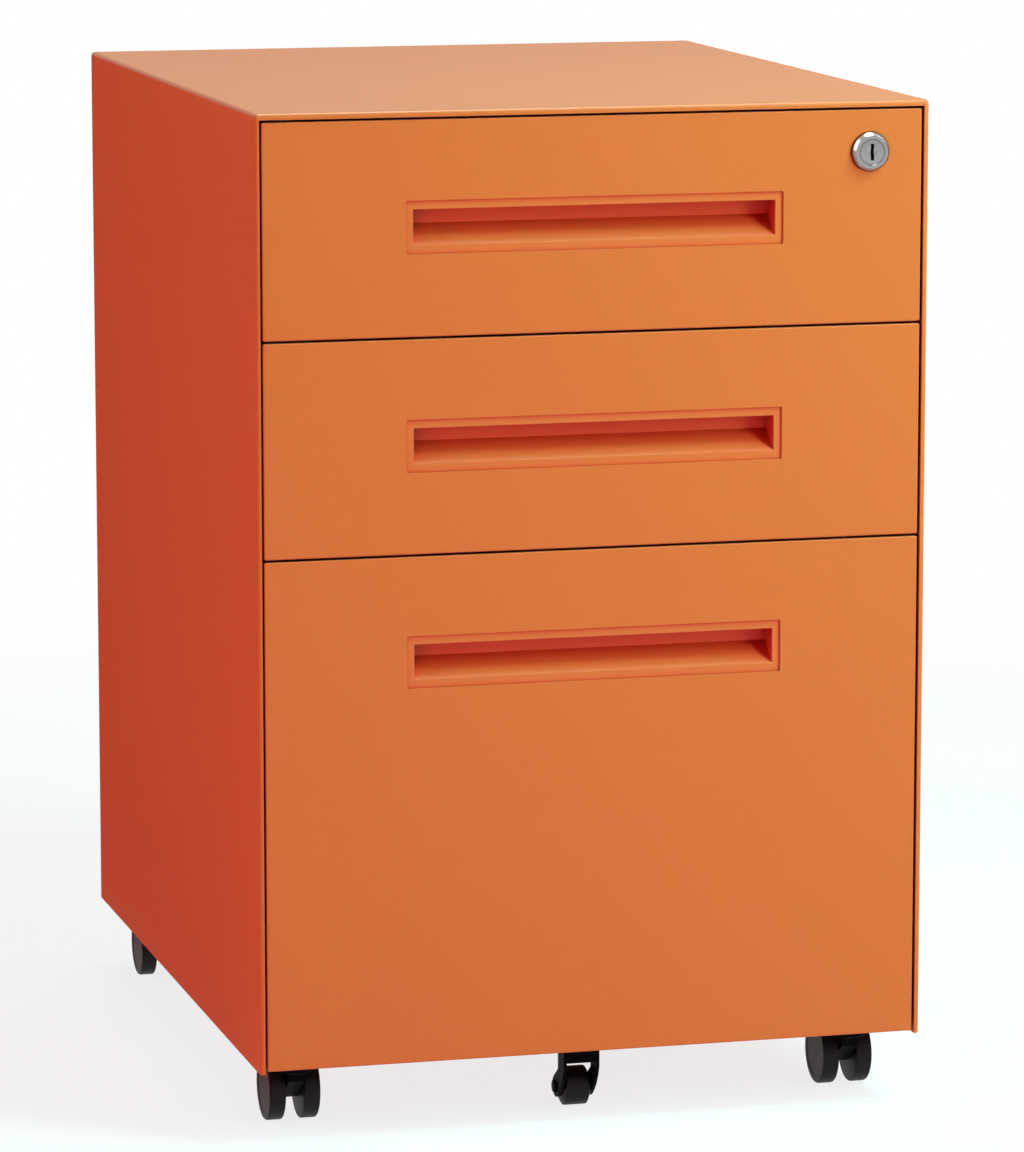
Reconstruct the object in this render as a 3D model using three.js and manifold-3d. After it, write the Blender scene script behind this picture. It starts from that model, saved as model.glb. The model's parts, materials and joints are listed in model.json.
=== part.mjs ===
// Three-drawer mobile pedestal: a folded steel case on twin-wheel casters, with two box drawers
// and one hanging-file drawer on ball-bearing slides, and one lock that blocks all three.
// Millimetres. X runs left to right, Y from the front to the back, Z up. The origin is on the
// floor, under the middle of the case.
import * as THREE from 'three';
import { mergeVertices } from 'three/addons/utils/BufferGeometryUtils.js';
import Module from 'manifold-3d';

const wasm = await Module();
wasm.setup();

// ---------------------------------------------------------------- driving dimensions

// Case
const caseWidth = 400;
const caseDepth = 490;
const caseHeight = 597;        // floor to the top
const caseLift = 42.5;         // floor to the lower edge of the side panels
const sheet = 1;               // steel sheet of the case, the drawer fronts and the trays
const seat = 0.3;              // gap left between pieces that are welded or screwed together
const edgeRadius = 2.4;        // outside radius of the folded edges
const edgeMargin = 0.1;        // corner seen from the front is rounder than the front edge by this
const foldStart = 1.7;         // gap inside the front fold starts behind the front edge
const hemSide = 3.1;           // width of the folded front edge beside the drawers
const hemTop = 3.7;            // and above them
const hemDepth = 14;           // how far the front fold runs back inside
const rearReturn = 12;         // width of the fold round the back opening
const panelFlange = 14;        // forward fold of the back panel
const floorRise = 7.5;         // underside of the floor above the side panels' lower edge
const floorSheet = 1.2;
const floorFrontGap = 2;       // floor behind the file drawer's backer
const floorFoldRise = 2;       // lower edge of the floor's folds above the same edge

// Posts that carry the slides
const postDepth = 12.4;        // how far a post stands in from the side panel
const postWidth = 30;
const postFoot = 7;
const frontPostSetback = 30;   // front face of the front posts behind the case's front
const rearPostInset = 60;      // front face of the rear posts ahead of the case's back

// Drawer fronts
const reveal = 1.25;           // gap round and between the drawer fronts
const lowerReveal = 1.45;      // lowest front's lower edge above the side panels' lower edge
const frontSetback = 0.6;      // faces of the drawers behind the case's front edge
const frontDepth = 21.9;       // thickness of a drawer front, made as a folded pan
const frontCorner = 1.3;
const frontEdge = 0.9;
const boxFrontHeight = 124;
const lipSide = 14;            // rear lips of the pan
const lipEnd = 11;
const backerLap = 4;           // how far a tray's front sheet laps the pan's upper and lower lips

// Trays
const trayRearGap = 17.2;      // trays stop short of the case's back
const boxTrayHeight = 72;
const fileTrayDrop = 50.55;    // file tray's upper edge below that of its front
const boxTrayRise = 6;         // tray underside above the front's lower edge
const floorClearance = 4.8;    // file tray's underside above the case floor
const rimWidth = 2.4;          // folded upper edge of a tray
const rimHeight = 9;
const railRise = 11;           // ribs on the file tray's side rims, for hanging folders
const railEndGap = 8;

// Slides
const slideDepth = 12.7;       // space that a slide fills between post and tray
const slideRearGap = 9;        // and their back ends ahead of the case's back
const slideSheet = 1.2;
const slideSetback = 31;       // front end of the fixed members behind the case's front
const slideRunning = 0.5;      // gap between a member's edge and the next member's web
const slideLip = 1.1;
const hookSpread = 16;         // between the two hooks that hang a fixed member on a post
const hookHeight = 6;
const hookDrop = 3;            // hook's tip below its root, behind the post's face
const hookReach = 1.5;
const boxSlideHeight = 36;
const fileSlideHeight = 45.7;
const midSlideHeight = 37.6;
const innerSlideHeight = 28.4;
const boxSlideDrop = 51;       // slide's middle below the tray's upper edge
const fileSlideRise = 60;      // and above the file tray's underside

// Recessed handles
const handleDrop = 61.4;       // handle's middle below the upper edge of the front
const handleCutWidth = 224;
const handleCutHeight = 30.5;
const handleCutCorner = 1;
const handleLap = 6;           // hidden flange behind the front sheet
const handleFlangeCorner = 2;
const handleFlange = 2.2;
const handleMouthWidth = 215;
const handleMouthHeight = 20.4;
const handleWall = 1.6;
const pocketDepth = 16.3;
const pocketSlope = 11;        // rise of the pocket's floor towards its back wall
const pocketOverhang = 6;      // room above the mouth for the fingertips
const handleGap = 0.25;

// Lock
const lockInset = 31.45;       // key axis from the right edge of the front
const lockDrop = 24.5;         // and from its upper edge
const bezelRadius = 11.35;
const bezelStand = 4.4;        // how far the bezel stands off the drawer's face
const bezelChamfer = 3.6;      // height of the bezel's sloping edge, run over the width below
const bezelSlope = 2.05;
const boreChamfer = 0.45;
const barrelRadius = 9.5;
const plugRadius = 7.4;
const plugRecess = 0.2;        // plug's face behind the bezel's
const lockRunning = 0.3;
const barrelDepth = 19.2;      // barrel behind the drawer's face
const keywayWidth = 2;
const keywayHeight = 9.6;
const keywayDepth = 14;
const camThickness = 2;
const camGap = 0.5;            // barrel's end to the cam
const camReach = 12;           // key axis to drive pin
const camHub = 7;
const camEnd = 4;
const camClearance = 1;        // cam's sweep to the sheet round it
const camPin = 2;
const tailRadius = 4;
const tailHead = 5.5;
const tailHeadThickness = 1.2;

// Lock bar: a flat strip that the cam lifts, with one tab in front of each tray's stud
const barThickness = 2;
const barPostGap = 1;
const barPostInset = 0.5;      // bar's inner edge outside the post's inner face
const barTail = 8;             // bar below its lowest tab
const tabLength = 8.8;
const tabHeight = 6;
const tabSlideGap = 2.5;       // tab above the slide's upper edge, bar down
const fileTabDrop = 32;        // file drawer's tab below its tray's upper edge, bar down
const slotPlay = 0.8;
const slotMargin = 4;
const guideRadius = 2.7;
const guideHead = 4.5;
const guideHeadThickness = 1.2;
const guidePlay = 0.4;
const guideInset = 55;         // guides from the ends of the bar
const studRadius = 3;
const studLength = 8.5;
const studGap = 5;             // tray's stud behind the lock bar

// Casters
const casterInset = 30.1;       // swivel axis from the side panel's outer face
const casterFront = 45.4;       // front swivel axes behind the case's front
const casterRear = 62.6;        // rear swivel axes ahead of the case's back
const casterTrail = 16;        // wheel axle behind the swivel axis
const wheelRadius = 19.3;
const wheelWidth = 9.75;
const wheelEdge = 1.5;         // rounding of a wheel's outer edge
const wheelInnerEdge = 1;
const wheelDish = 0.3;         // outer face's middle inside its rim
const wheelSides = 32;
const wheelGap = 0.3;
const spineThickness = 10.4;
const axleRadius = 2.4;
const axleRunning = 0.3;
const axleEndWall = 1.9;
const axleHub = 6.5;
const swivelGap = 0.3;
const headRadius = 11;
const headHeight = 10;
const headChamfer = 1.5;
const headLowerChamfer = 1;
const headWheelGap = 0.6;
const casterFlange = 15;
const casterFlangeThickness = 3.2;
const casterNeck = 4.2;        // flange's underside to the body's top
const collarRadius = 10;
const pinRadius = 3.5;
const pinLength = 12.6;
const stemRadius = 4;
const stemAboveFloor = 3.4;
const spineNose = 7;           // spine in front of the swivel axis
const spineNoseDrop = 15;
const spineRear = 3;           // spine's upper rear corner ahead of the axle hub's back
const spineRearDrop = 4;
const spineEdge = 0.6;

// Fifth wheel under the file drawer, which stops the case from tipping
const tipWheelRadius = 11.6;
const tipWheelWidth = 16.8;
const tipWheelSides = 28;
const tipFloorGap = 0.6;
const tipAxleSetback = 47.3;
const tipForkWidth = 22;
const tipForkSheet = 2;
const tipForkFront = 28.5;
const tipForkDepth = 12.8;
const tipForkSkirt = 13.6;
const tipEarRadius = 6.5;
const tipEarDrop = 19.4;       // end of the ear's straight back edge below the plate
const tipEarFrontDrop = 16.6;  // and of its straight front edge
const tipEarBow = 4;           // corner that the bowed front edge bends round, behind the fork's front
const tipEarBowDrop = 29;      // and below its top
const tipEarHeel = 1.3 * Math.PI;  // where the bow meets the round end
const tipPlateFront = 12;
const tipWheelHub = 2.5;       // hub wall round the rivet, standing out past the wheel's sides
const tipWheelHubStand = 0.3;
const tipWheelEdge = 1.7;       // width of the wheel's bevelled edge, and its height below
const tipWheelEdgeHeight = 3.3;
const tipRivetHead = 4;
const tipRivetChamfer = 1;
const tipRivetHeadThickness = 1.2;

// ---------------------------------------------------------------- derived places

const frontY = -caseDepth / 2;
const backY = caseDepth / 2;
const halfWidth = caseWidth / 2;
const sideInner = halfWidth - sheet;
const topUnder = caseHeight - sheet;
const openHalf = halfWidth - hemSide;
const openTop = caseHeight - hemTop;

const floorUnder = caseLift + floorRise;
const floorTop = floorUnder + floorSheet;
const panelHalf = sideInner - seat;
const panelBackY = backY - sheet - seat;
const floorHalf = panelHalf - sheet - seat;
const floorBackY = panelBackY - sheet - seat;

const frontHalf = openHalf - reveal;
const upperFrontTop = openTop - reveal;
const faceY = frontY + frontSetback;
const panBackY = faceY + frontDepth;
const backerY = panBackY + seat;
const trayY = backerY + sheet + seat;
const floorFrontY = backerY + sheet + floorFrontGap;
const trayBackY = backY - trayRearGap;
const slideFrontY = frontY + slideSetback;
const slideBackY = backY - slideRearGap;

const postFace = sideInner - seat - postDepth;
const frontPostY = frontY + frontPostSetback;
const rearPostY = backY - rearPostInset;
const slideFace = postFace - seat;
const trayHalf = slideFace - slideDepth - seat;
const backerHalf = postFace - seat;

const pitch = boxFrontHeight + reveal;
const fileFrontHeight = upperFrontTop - 2 * pitch - caseLift - lowerReveal;
const drawers = [
  drawerPlan('upper', upperFrontTop, boxFrontHeight, false),
  drawerPlan('middle', upperFrontTop - pitch, boxFrontHeight, false),
  drawerPlan('file', upperFrontTop - 2 * pitch, fileFrontHeight, true),
];

const lockX = frontHalf - lockInset;
const lockZ = upperFrontTop - lockDrop;
const camY = faceY + barrelDepth + camGap;
const camAngle = -Math.PI / 4;
const lockRoom = camReach + camEnd + camClearance;
const lockLift = 2 * camReach * Math.sin(-camAngle);
const barBackY = frontPostY - barPostGap;
const barFrontY = barBackY - barThickness;
const barInner = postFace + barPostInset;
const barOuter = panelHalf - sheet - seat;
const barMiddle = (barInner + barOuter) / 2;

const wheelAxleZ = wheelRadius;
const casterHeadTop = floorUnder - seat - casterFlangeThickness - casterNeck;
const tipAxleZ = tipFloorGap + tipWheelRadius;

function drawerPlan(name, frontTop, frontHeight, isFile) {
  const frontBottom = frontTop - frontHeight;
  const trayBottom = isFile ? floorTop + floorClearance : frontBottom + boxTrayRise;
  const trayTop = isFile ? frontTop - fileTrayDrop : trayBottom + boxTrayHeight;
  const slideZ = isFile ? trayBottom + fileSlideRise : trayTop - boxSlideDrop;
  const slideTop = slideZ + boxSlideHeight / 2;
  const tabZ = isFile ? trayTop - fileTabDrop : slideTop + tabSlideGap + tabHeight / 2;
  return { name, frontTop, frontBottom, trayBottom, trayTop, slideZ, tabZ, isFile };
}

// ---------------------------------------------------------------- making solids

function toSolid(geometry) {
  const bare = geometry.clone();
  bare.deleteAttribute('normal');
  bare.deleteAttribute('uv');
  const merged = mergeVertices(bare, 1e-4);
  return new wasm.Manifold(new wasm.Mesh({
    numProp: 3,
    vertProperties: new Float32Array(merged.attributes.position.array),
    triVerts: new Uint32Array(merged.index.array),
  }));
}

function toGeometry(solid) {
  const mesh = solid.getMesh();
  const geometry = new THREE.BufferGeometry();
  geometry.setAttribute('position', new THREE.BufferAttribute(new Float32Array(mesh.vertProperties), 3));
  geometry.setIndex(new THREE.BufferAttribute(new Uint32Array(mesh.triVerts), 1));
  geometry.computeVertexNormals();
  return geometry;
}

function block(x0, x1, y0, y1, z0, z1) {
  const box = new THREE.BoxGeometry(x1 - x0, y1 - y0, z1 - z0);
  box.translate((x0 + x1) / 2, (y0 + y1) / 2, (z0 + z1) / 2);
  return toSolid(box);
}

function rod(axis, radius, from, to, sides = 20) {
  const geometry = new THREE.CylinderGeometry(radius, radius, to - from, sides);
  geometry.translate(0, (from + to) / 2, 0);
  if (axis === 'x') geometry.rotateZ(-Math.PI / 2);
  if (axis === 'z') geometry.rotateX(Math.PI / 2);
  return geometry;
}

function polygon(points) {
  return new THREE.Shape(points.map(([u, v]) => new THREE.Vector2(u, v)));
}

function roundRect(x0, x1, y0, y1, radius) {
  const shape = new THREE.Shape();
  shape.moveTo(x0 + radius, y0);
  shape.absarc(x1 - radius, y0 + radius, radius, -Math.PI / 2, 0);
  shape.absarc(x1 - radius, y1 - radius, radius, 0, Math.PI / 2);
  shape.absarc(x0 + radius, y1 - radius, radius, Math.PI / 2, Math.PI);
  shape.absarc(x0 + radius, y0 + radius, radius, Math.PI, 1.5 * Math.PI);
  return shape;
}

function extrude(shape, length, curve, bevel = 0, bevelSteps = 2) {
  return new THREE.ExtrudeGeometry(shape, {
    depth: length - 2 * bevel,
    curveSegments: curve,
    bevelEnabled: bevel > 0,
    bevelSize: bevel,
    bevelThickness: bevel,
    bevelOffset: -bevel,
    bevelSegments: bevelSteps,
  }).translate(0, 0, bevel);
}

// A profile drawn in X and Z, run along Y.
function alongY(shape, y0, y1, curve = 2, bevel = 0, bevelSteps = 2) {
  const geometry = extrude(shape, y1 - y0, curve, bevel, bevelSteps);
  geometry.rotateX(Math.PI / 2);
  geometry.translate(0, y1, 0);
  return geometry;
}

// A profile drawn in Y and Z, run along X.
function alongX(shape, x0, x1, curve = 2, bevel = 0) {
  const geometry = extrude(shape, x1 - x0, curve, bevel);
  const turn = new THREE.Matrix4();
  turn.makeBasis(new THREE.Vector3(0, 1, 0), new THREE.Vector3(0, 0, 1), new THREE.Vector3(1, 0, 0));
  geometry.applyMatrix4(turn);
  geometry.translate(x0, 0, 0);
  return geometry;
}

// A profile drawn in X and Y, run up Z.
function alongZ(shape, z0, z1, curve = 2) {
  return extrude(shape, z1 - z0, curve).translate(0, 0, z0);
}

function turned(profile, sides, axis, turn = 0) {
  const points = profile.map(([radius, along]) => new THREE.Vector2(radius, along));
  const geometry = new THREE.LatheGeometry(points, sides);
  geometry.rotateY(turn);
  if (axis === 'x') geometry.rotateZ(-Math.PI / 2);
  if (axis === 'z') geometry.rotateX(Math.PI / 2);
  return geometry;
}

// ---------------------------------------------------------------- finishes

const finishes = {
  orange: { color: 0xd9733b, roughness: 0.42, metalness: 0.05 },
  orangeMoulding: { color: 0xd3652f, roughness: 0.5, metalness: 0 },
  zinc: { color: 0xa9adb0, roughness: 0.38, metalness: 0.9 },
  nickel: { color: 0xc9c9c6, roughness: 0.22, metalness: 1 },
  blackPlastic: { color: 0x1c1a1b, roughness: 0.55, metalness: 0 },
  blackSteel: { color: 0x161516, roughness: 0.5, metalness: 0.2 },
  wheel: { color: 0x232021, roughness: 0.6, metalness: 0 },
};

function piece(parent, name, geometry, finish) {
  const mesh = new THREE.Mesh(geometry, new THREE.MeshStandardMaterial(finishes[finish]));
  mesh.name = name;
  parent.add(mesh);
  return mesh;
}

function sideName(side) {
  return side < 0 ? 'left' : 'right';
}

// ---------------------------------------------------------------- case

const pedestal = new THREE.Group();
const overrun = 20;

// One sheet folded over the top and down both sides. Its front edge is folded back on itself
// round the drawers, and its rear edge is turned in round the back panel.
function caseWrap() {
  const outline = roundRect(-halfWidth, halfWidth, caseLift - overrun, caseHeight, edgeRadius + edgeMargin);
  const below = caseLift - 2 * overrun;
  const slotFrontY = frontY + foldStart;
  const slotBackY = frontY + hemDepth;
  const foldSlot = block(-sideInner, sideInner, slotFrontY, slotBackY, below, topUnder)
    .subtract(block(-openHalf - sheet, openHalf + sheet, slotFrontY - 1, slotBackY + 1,
      below - 1, openTop + sheet));
  return toGeometry(toSolid(alongY(outline, frontY, backY, 2, edgeRadius, 3))
    .subtract(block(-sideInner, sideInner, slotBackY, backY - sheet, below, topUnder))
    .subtract(block(-openHalf, openHalf, frontY - 1, slotBackY + 1, below, openTop))
    .subtract(foldSlot)
    .subtract(block(-halfWidth + rearReturn, halfWidth - rearReturn, backY - sheet - 1, backY + 1,
      below, caseHeight - rearReturn))
    .subtract(block(-halfWidth - 1, halfWidth + 1, frontY - 1, backY + 1, below - 1, caseLift)));
}

function backPanel() {
  const bottom = caseLift + floorFoldRise;
  const top = topUnder - seat;
  return toGeometry(block(-panelHalf, panelHalf, panelBackY - panelFlange, panelBackY, bottom, top)
    .subtract(block(-panelHalf + sheet, panelHalf - sheet, panelBackY - panelFlange - 1,
      panelBackY - sheet, bottom - 1, top - sheet)));
}

// The floor is a tray with its folds turned down, and a hole for each caster stem.
function basePan() {
  const foldBottom = caseLift + floorFoldRise;
  let pan = block(-floorHalf, floorHalf, floorFrontY, floorBackY, foldBottom, floorTop)
    .subtract(block(-floorHalf + floorSheet, floorHalf - floorSheet, floorFrontY + floorSheet,
      floorBackY - floorSheet, foldBottom - 1, floorUnder));
  for (const { x, y } of casterPlaces()) {
    const hole = rod('z', stemRadius + seat, floorUnder - 1, floorTop + 1, 16).translate(x, y, 0);
    pan = pan.subtract(toSolid(hole));
  }
  return toGeometry(pan);
}

// A hat-section post, with its feet welded to the side panel and its face towards the slides.
function postSection(side, y0) {
  const y1 = y0 + postWidth;
  const outer = panelHalf;
  const inner = postFace;
  return polygon([
    [outer - sheet, y0 - postFoot], [outer, y0 - postFoot], [outer, y0 + sheet],
    [inner + sheet, y0 + sheet], [inner + sheet, y1 - sheet], [outer, y1 - sheet],
    [outer, y1 + postFoot], [outer - sheet, y1 + postFoot], [outer - sheet, y1],
    [inner, y1], [inner, y0], [outer - sheet, y0],
  ].map(([x, y]) => [side * x, y]));
}

function post(side, y0) {
  let solid = toSolid(alongZ(postSection(side, y0), floorTop + seat, topUnder - seat - sheet));
  const middle = y0 + postWidth / 2;
  const face = [side * (postFace - 1), side * (postFace + sheet + 1)].sort((a, b) => a - b);
  for (const hookZ of drawers.flatMap(hookPlaces)) {
    solid = solid.subtract(block(...face, middle - slideSheet, middle + slideSheet,
      hookZ - hookHeight / 2 - hookDrop - seat, hookZ + hookHeight / 2 + seat));
  }
  return solid;
}

function hookPlaces(plan) {
  return [plan.slideZ - hookSpread / 2, plan.slideZ + hookSpread / 2];
}

// The right front post also has the two headed studs that guide the lock bar.
function guidedPost() {
  let solid = post(1, frontPostY);
  for (const z of guidePlaces()) {
    const headBackY = barFrontY - guidePlay;
    const shank = rod('y', guideRadius, headBackY - 0.1, frontPostY + sheet / 2, 16);
    const head = rod('y', guideHead, headBackY - guideHeadThickness, headBackY, 16);
    solid = solid.add(toSolid(shank.translate(barMiddle, 0, z)));
    solid = solid.add(toSolid(head.translate(barMiddle, 0, z)));
  }
  return toGeometry(solid);
}

function buildCase() {
  piece(pedestal, 'case_wrap', caseWrap(), 'orange');
  piece(pedestal, 'back_panel', backPanel(), 'orange');
  piece(pedestal, 'base_pan', basePan(), 'orange');
  piece(pedestal, 'front_post_left', toGeometry(post(-1, frontPostY)), 'orange');
  piece(pedestal, 'front_post_right', guidedPost(), 'orange');
  piece(pedestal, 'rear_post_left', toGeometry(post(-1, rearPostY)), 'orange');
  piece(pedestal, 'rear_post_right', toGeometry(post(1, rearPostY)), 'orange');
}

// ---------------------------------------------------------------- slides

// Channel section of a slide member in X and Z. The web is the flat back, from web0 to web1 as
// depths from the post; the edges run to tip, with lips of the given size that keep the balls in.
function channel(side, web0, web1, tip, height, lip) {
  const h = height / 2;
  const inside = h - slideSheet;
  const towards = Math.sign(tip - web0);
  const lipStart = tip - towards * slideSheet;
  const upper = [[web0, h], [tip, h], [tip, inside - lip], [lipStart, inside - lip],
    [lipStart, inside], [web1, inside]];
  const outlineLip = lip < 0
    ? [[web0, h], [lipStart, h], [lipStart, h - lip], [tip, h - lip], [tip, inside], [web1, inside]]
    : upper;
  const lower = outlineLip.map(([u, z]) => [u, -z]).reverse();
  return polygon([...outlineLip, ...lower].map(([u, z]) => [side * (slideFace - u), z]));
}

// The fixed member hangs on its two posts by hooks that drop behind the posts' faces.
function fixedMember(side, plan) {
  const height = plan.isFile ? fileSlideHeight : boxSlideHeight;
  const section = channel(side, 0, slideSheet, slideDepth - slideSheet - slideRunning, height, slideLip);
  let member = toSolid(alongY(section, slideFrontY, slideBackY));
  const root = slideFace - slideSheet / 2;
  const behind = postFace + sheet + seat;
  const half = hookHeight / 2;
  for (const middle of [frontPostY + postWidth / 2, rearPostY + postWidth / 2]) {
    for (const z of [-hookSpread / 2, hookSpread / 2]) {
      const hook = polygon([
        [root, z - half], [behind, z - half], [behind, z - half - hookDrop],
        [behind + hookReach, z - half - hookDrop], [behind + hookReach, z + half], [root, z + half],
      ].map(([x, up]) => [side * x, up]));
      member = member.add(toSolid(alongY(hook, middle - slideSheet / 2, middle + slideSheet / 2)));
    }
  }
  return toGeometry(member);
}

function midMember(side) {
  const web = slideSheet + slideRunning;
  return channel(side, web, web + slideSheet, slideDepth - slideSheet - slideRunning,
    midSlideHeight, slideLip);
}

function trayMember(side, isFile) {
  const webs = isFile ? 2 : 1;
  const tip = webs * (slideSheet + slideRunning);
  return channel(side, slideDepth, slideDepth - slideSheet, tip, innerSlideHeight, -slideLip);
}

function buildFixedSlides() {
  for (const plan of drawers) {
    for (const side of [-1, 1]) {
      const name = `${plan.name}_slide_outer_${sideName(side)}`;
      piece(pedestal, name, fixedMember(side, plan), 'zinc').position.z = plan.slideZ;
      if (plan.isFile) {
        const mid = alongY(midMember(side), slideFrontY, slideBackY - slideLip);
        piece(pedestal, `file_slide_middle_${sideName(side)}`, mid, 'zinc').position.z = plan.slideZ;
      }
    }
  }
}

// ---------------------------------------------------------------- drawers

// The front is a pan: a face with four folded sides and a lip round its open back.
function drawerFront(plan) {
  const { frontTop, frontBottom } = plan;
  const outline = roundRect(-frontHalf, frontHalf, frontBottom, frontTop, frontCorner);
  let front = toSolid(alongY(outline, faceY, panBackY, 2, frontEdge, 2))
    .subtract(block(-frontHalf + sheet, frontHalf - sheet, faceY + sheet, panBackY - sheet,
      frontBottom + sheet, frontTop - sheet))
    .subtract(block(-frontHalf + lipSide, frontHalf - lipSide, panBackY - sheet - 1, panBackY + 1,
      frontBottom + lipEnd, frontTop - lipEnd));
  const handleZ = frontTop - handleDrop;
  const cut = roundRect(-handleCutWidth / 2, handleCutWidth / 2, handleZ - handleCutHeight / 2,
    handleZ + handleCutHeight / 2, handleCutCorner);
  front = front.subtract(toSolid(alongY(cut, faceY - 1, faceY + sheet + 1)));
  if (plan.name === 'upper') {
    const hole = rod('y', barrelRadius + seat, faceY - 1, faceY + sheet + 1, 32);
    front = front.subtract(toSolid(hole.translate(lockX, 0, lockZ)));
  }
  return toGeometry(front);
}

// A finger recess let in from behind: a flange and a pocket whose floor slopes up to its back
// wall, with room above the mouth for the fingertips.
function handle(plan) {
  const y0 = faceY + sheet + handleGap;
  const middle = plan.frontTop - handleDrop;
  const mouthBottom = middle - handleMouthHeight / 2;
  const mouthTop = middle + handleMouthHeight / 2;
  const pocketTop = mouthTop + pocketOverhang;
  const pocketBack = y0 + pocketDepth;
  const hollow = polygon([
    [y0 - 1, mouthBottom], [y0, mouthBottom], [pocketBack, mouthBottom + pocketSlope],
    [pocketBack, pocketTop], [y0 + handleFlange, pocketTop],
    [y0 + handleFlange, mouthTop], [y0 - 1, mouthTop],
  ]);
  const root = y0 + handleFlange / 2;
  const shell = polygon([
    [root, mouthBottom - handleWall], [y0 + handleFlange, mouthBottom - handleWall],
    [pocketBack + handleWall, mouthBottom + pocketSlope - handleWall],
    [pocketBack + handleWall, pocketTop + handleWall], [root, pocketTop + handleWall],
  ]);
  const half = handleMouthWidth / 2;
  const flange = roundRect(-handleCutWidth / 2 - handleLap, handleCutWidth / 2 + handleLap,
    middle - handleCutHeight / 2 - handleLap, middle + handleCutHeight / 2 + handleLap, handleFlangeCorner);
  return toGeometry(toSolid(alongY(flange, y0, y0 + handleFlange))
    .add(toSolid(alongX(shell, -half - handleWall, half + handleWall)))
    .subtract(toSolid(alongX(hollow, -half, half))));
}

// A flat sheet that closes the back of the pan and carries the tray. The upper drawer's has its
// corner cut away round the lock.
function backer(plan) {
  const top = plan.frontTop - lipEnd + backerLap;
  const bottom = plan.frontBottom + lipEnd - backerLap;
  const outline = polygon(plan.name === 'upper'
    ? [[-backerHalf, bottom], [backerHalf, bottom], [backerHalf, lockZ - lockRoom],
      [lockX - lockRoom, lockZ - lockRoom], [lockX - lockRoom, top], [-backerHalf, top]]
    : [[-backerHalf, bottom], [backerHalf, bottom], [backerHalf, top], [-backerHalf, top]]);
  return alongY(outline, backerY, backerY + sheet);
}

// The tray is folded from one sheet, with a thick rolled rim. The file tray's side rims rise into
// ribs for hanging folders. A stud on the right side meets the lock bar's tab.
function tray(plan) {
  const { trayBottom, trayTop } = plan;
  const rimZ = trayTop - rimHeight;
  let solid = block(-trayHalf, trayHalf, trayY, trayBackY, trayBottom, trayTop)
    .subtract(block(-trayHalf + sheet, trayHalf - sheet, trayY + sheet, trayBackY - sheet,
      trayBottom + sheet, rimZ))
    .subtract(block(-trayHalf + rimWidth, trayHalf - rimWidth, trayY + rimWidth,
      trayBackY - rimWidth, rimZ - 1, trayTop + 1));
  if (plan.isFile) {
    for (const side of [-1, 1]) {
      const middle = side * (trayHalf - rimWidth / 2);
      solid = solid.add(block(middle - sheet, middle + sheet, trayY + railEndGap,
        trayBackY - railEndGap, trayTop - 1, trayTop + railRise));
    }
  }
  const studY = barBackY + studGap + studRadius;
  const stud = rod('x', studRadius, trayHalf - sheet / 2, trayHalf + studLength, 14);
  return toGeometry(solid.add(toSolid(stud.translate(0, studY, plan.tabZ + lockLift))));
}

function buildDrawers() {
  for (const plan of drawers) {
    const drawer = new THREE.Group();
    pedestal.add(drawer);
    piece(drawer, `${plan.name}_drawer_front`, drawerFront(plan), 'orange');
    piece(drawer, `${plan.name}_drawer_backer`, backer(plan), 'orange');
    piece(drawer, `${plan.name}_drawer_tray`, tray(plan), 'orange');
    piece(drawer, `${plan.name}_drawer_handle`, handle(plan), 'orangeMoulding');
    for (const side of [-1, 1]) {
      const section = trayMember(side, plan.isFile);
      const member = alongY(section, trayY, trayBackY);
      const name = `${plan.name}_slide_inner_${sideName(side)}`;
      piece(drawer, name, member, 'zinc').position.z = plan.slideZ;
    }
  }
}

// ---------------------------------------------------------------- lock

function lockHousing() {
  const bezelFront = faceY - bezelStand;
  const bezelBack = faceY - seat;
  const bore = plugRadius + lockRunning;
  return turned([
    [bore, bezelFront + boreChamfer], [bore + boreChamfer, bezelFront],
    [bezelRadius - bezelSlope, bezelFront], [bezelRadius, bezelFront + bezelChamfer],
    [bezelRadius, bezelBack], [barrelRadius, bezelBack], [barrelRadius, faceY + barrelDepth],
    [bore, faceY + barrelDepth], [bore, bezelFront + boreChamfer],
  ], 32, 'y');
}

function lockPlug() {
  const face = faceY - bezelStand + plugRecess;
  const tailY = faceY + barrelDepth;
  const headY = camY + camThickness + lockRunning;
  const key = keywayHeight / 2;
  const plug = turned([
    [0, face], [plugRadius - boreChamfer, face], [plugRadius, face + boreChamfer], [plugRadius, tailY],
    [tailRadius, tailY], [tailRadius, headY], [tailHead, headY],
    [tailHead, headY + tailHeadThickness], [0, headY + tailHeadThickness],
  ], 32, 'y');
  return toGeometry(toSolid(plug)
    .subtract(block(-keywayWidth / 2, keywayWidth / 2, face - 1, face + keywayDepth, -key, key)));
}

// The cam is a flat arm on the plug's tail, with the pin that lifts the lock bar.
function lockCam() {
  const tangent = Math.acos((camHub - camEnd) / camReach);
  const arm = new THREE.Shape();
  arm.absarc(0, 0, camHub, tangent, 2 * Math.PI - tangent);
  arm.absarc(camReach, 0, camEnd, -tangent, tangent);
  arm.holes.push(new THREE.Path().absarc(0, 0, tailRadius + seat, 0, 2 * Math.PI, true));
  const plate = toSolid(alongY(arm, camY, camY + camThickness, 8));
  const pin = rod('y', camPin, camY + camThickness / 2, barBackY + 1, 16).translate(camReach, 0, 0);
  const cam = toGeometry(plate.add(toSolid(pin)));
  return cam.rotateY(-camAngle);
}

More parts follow.
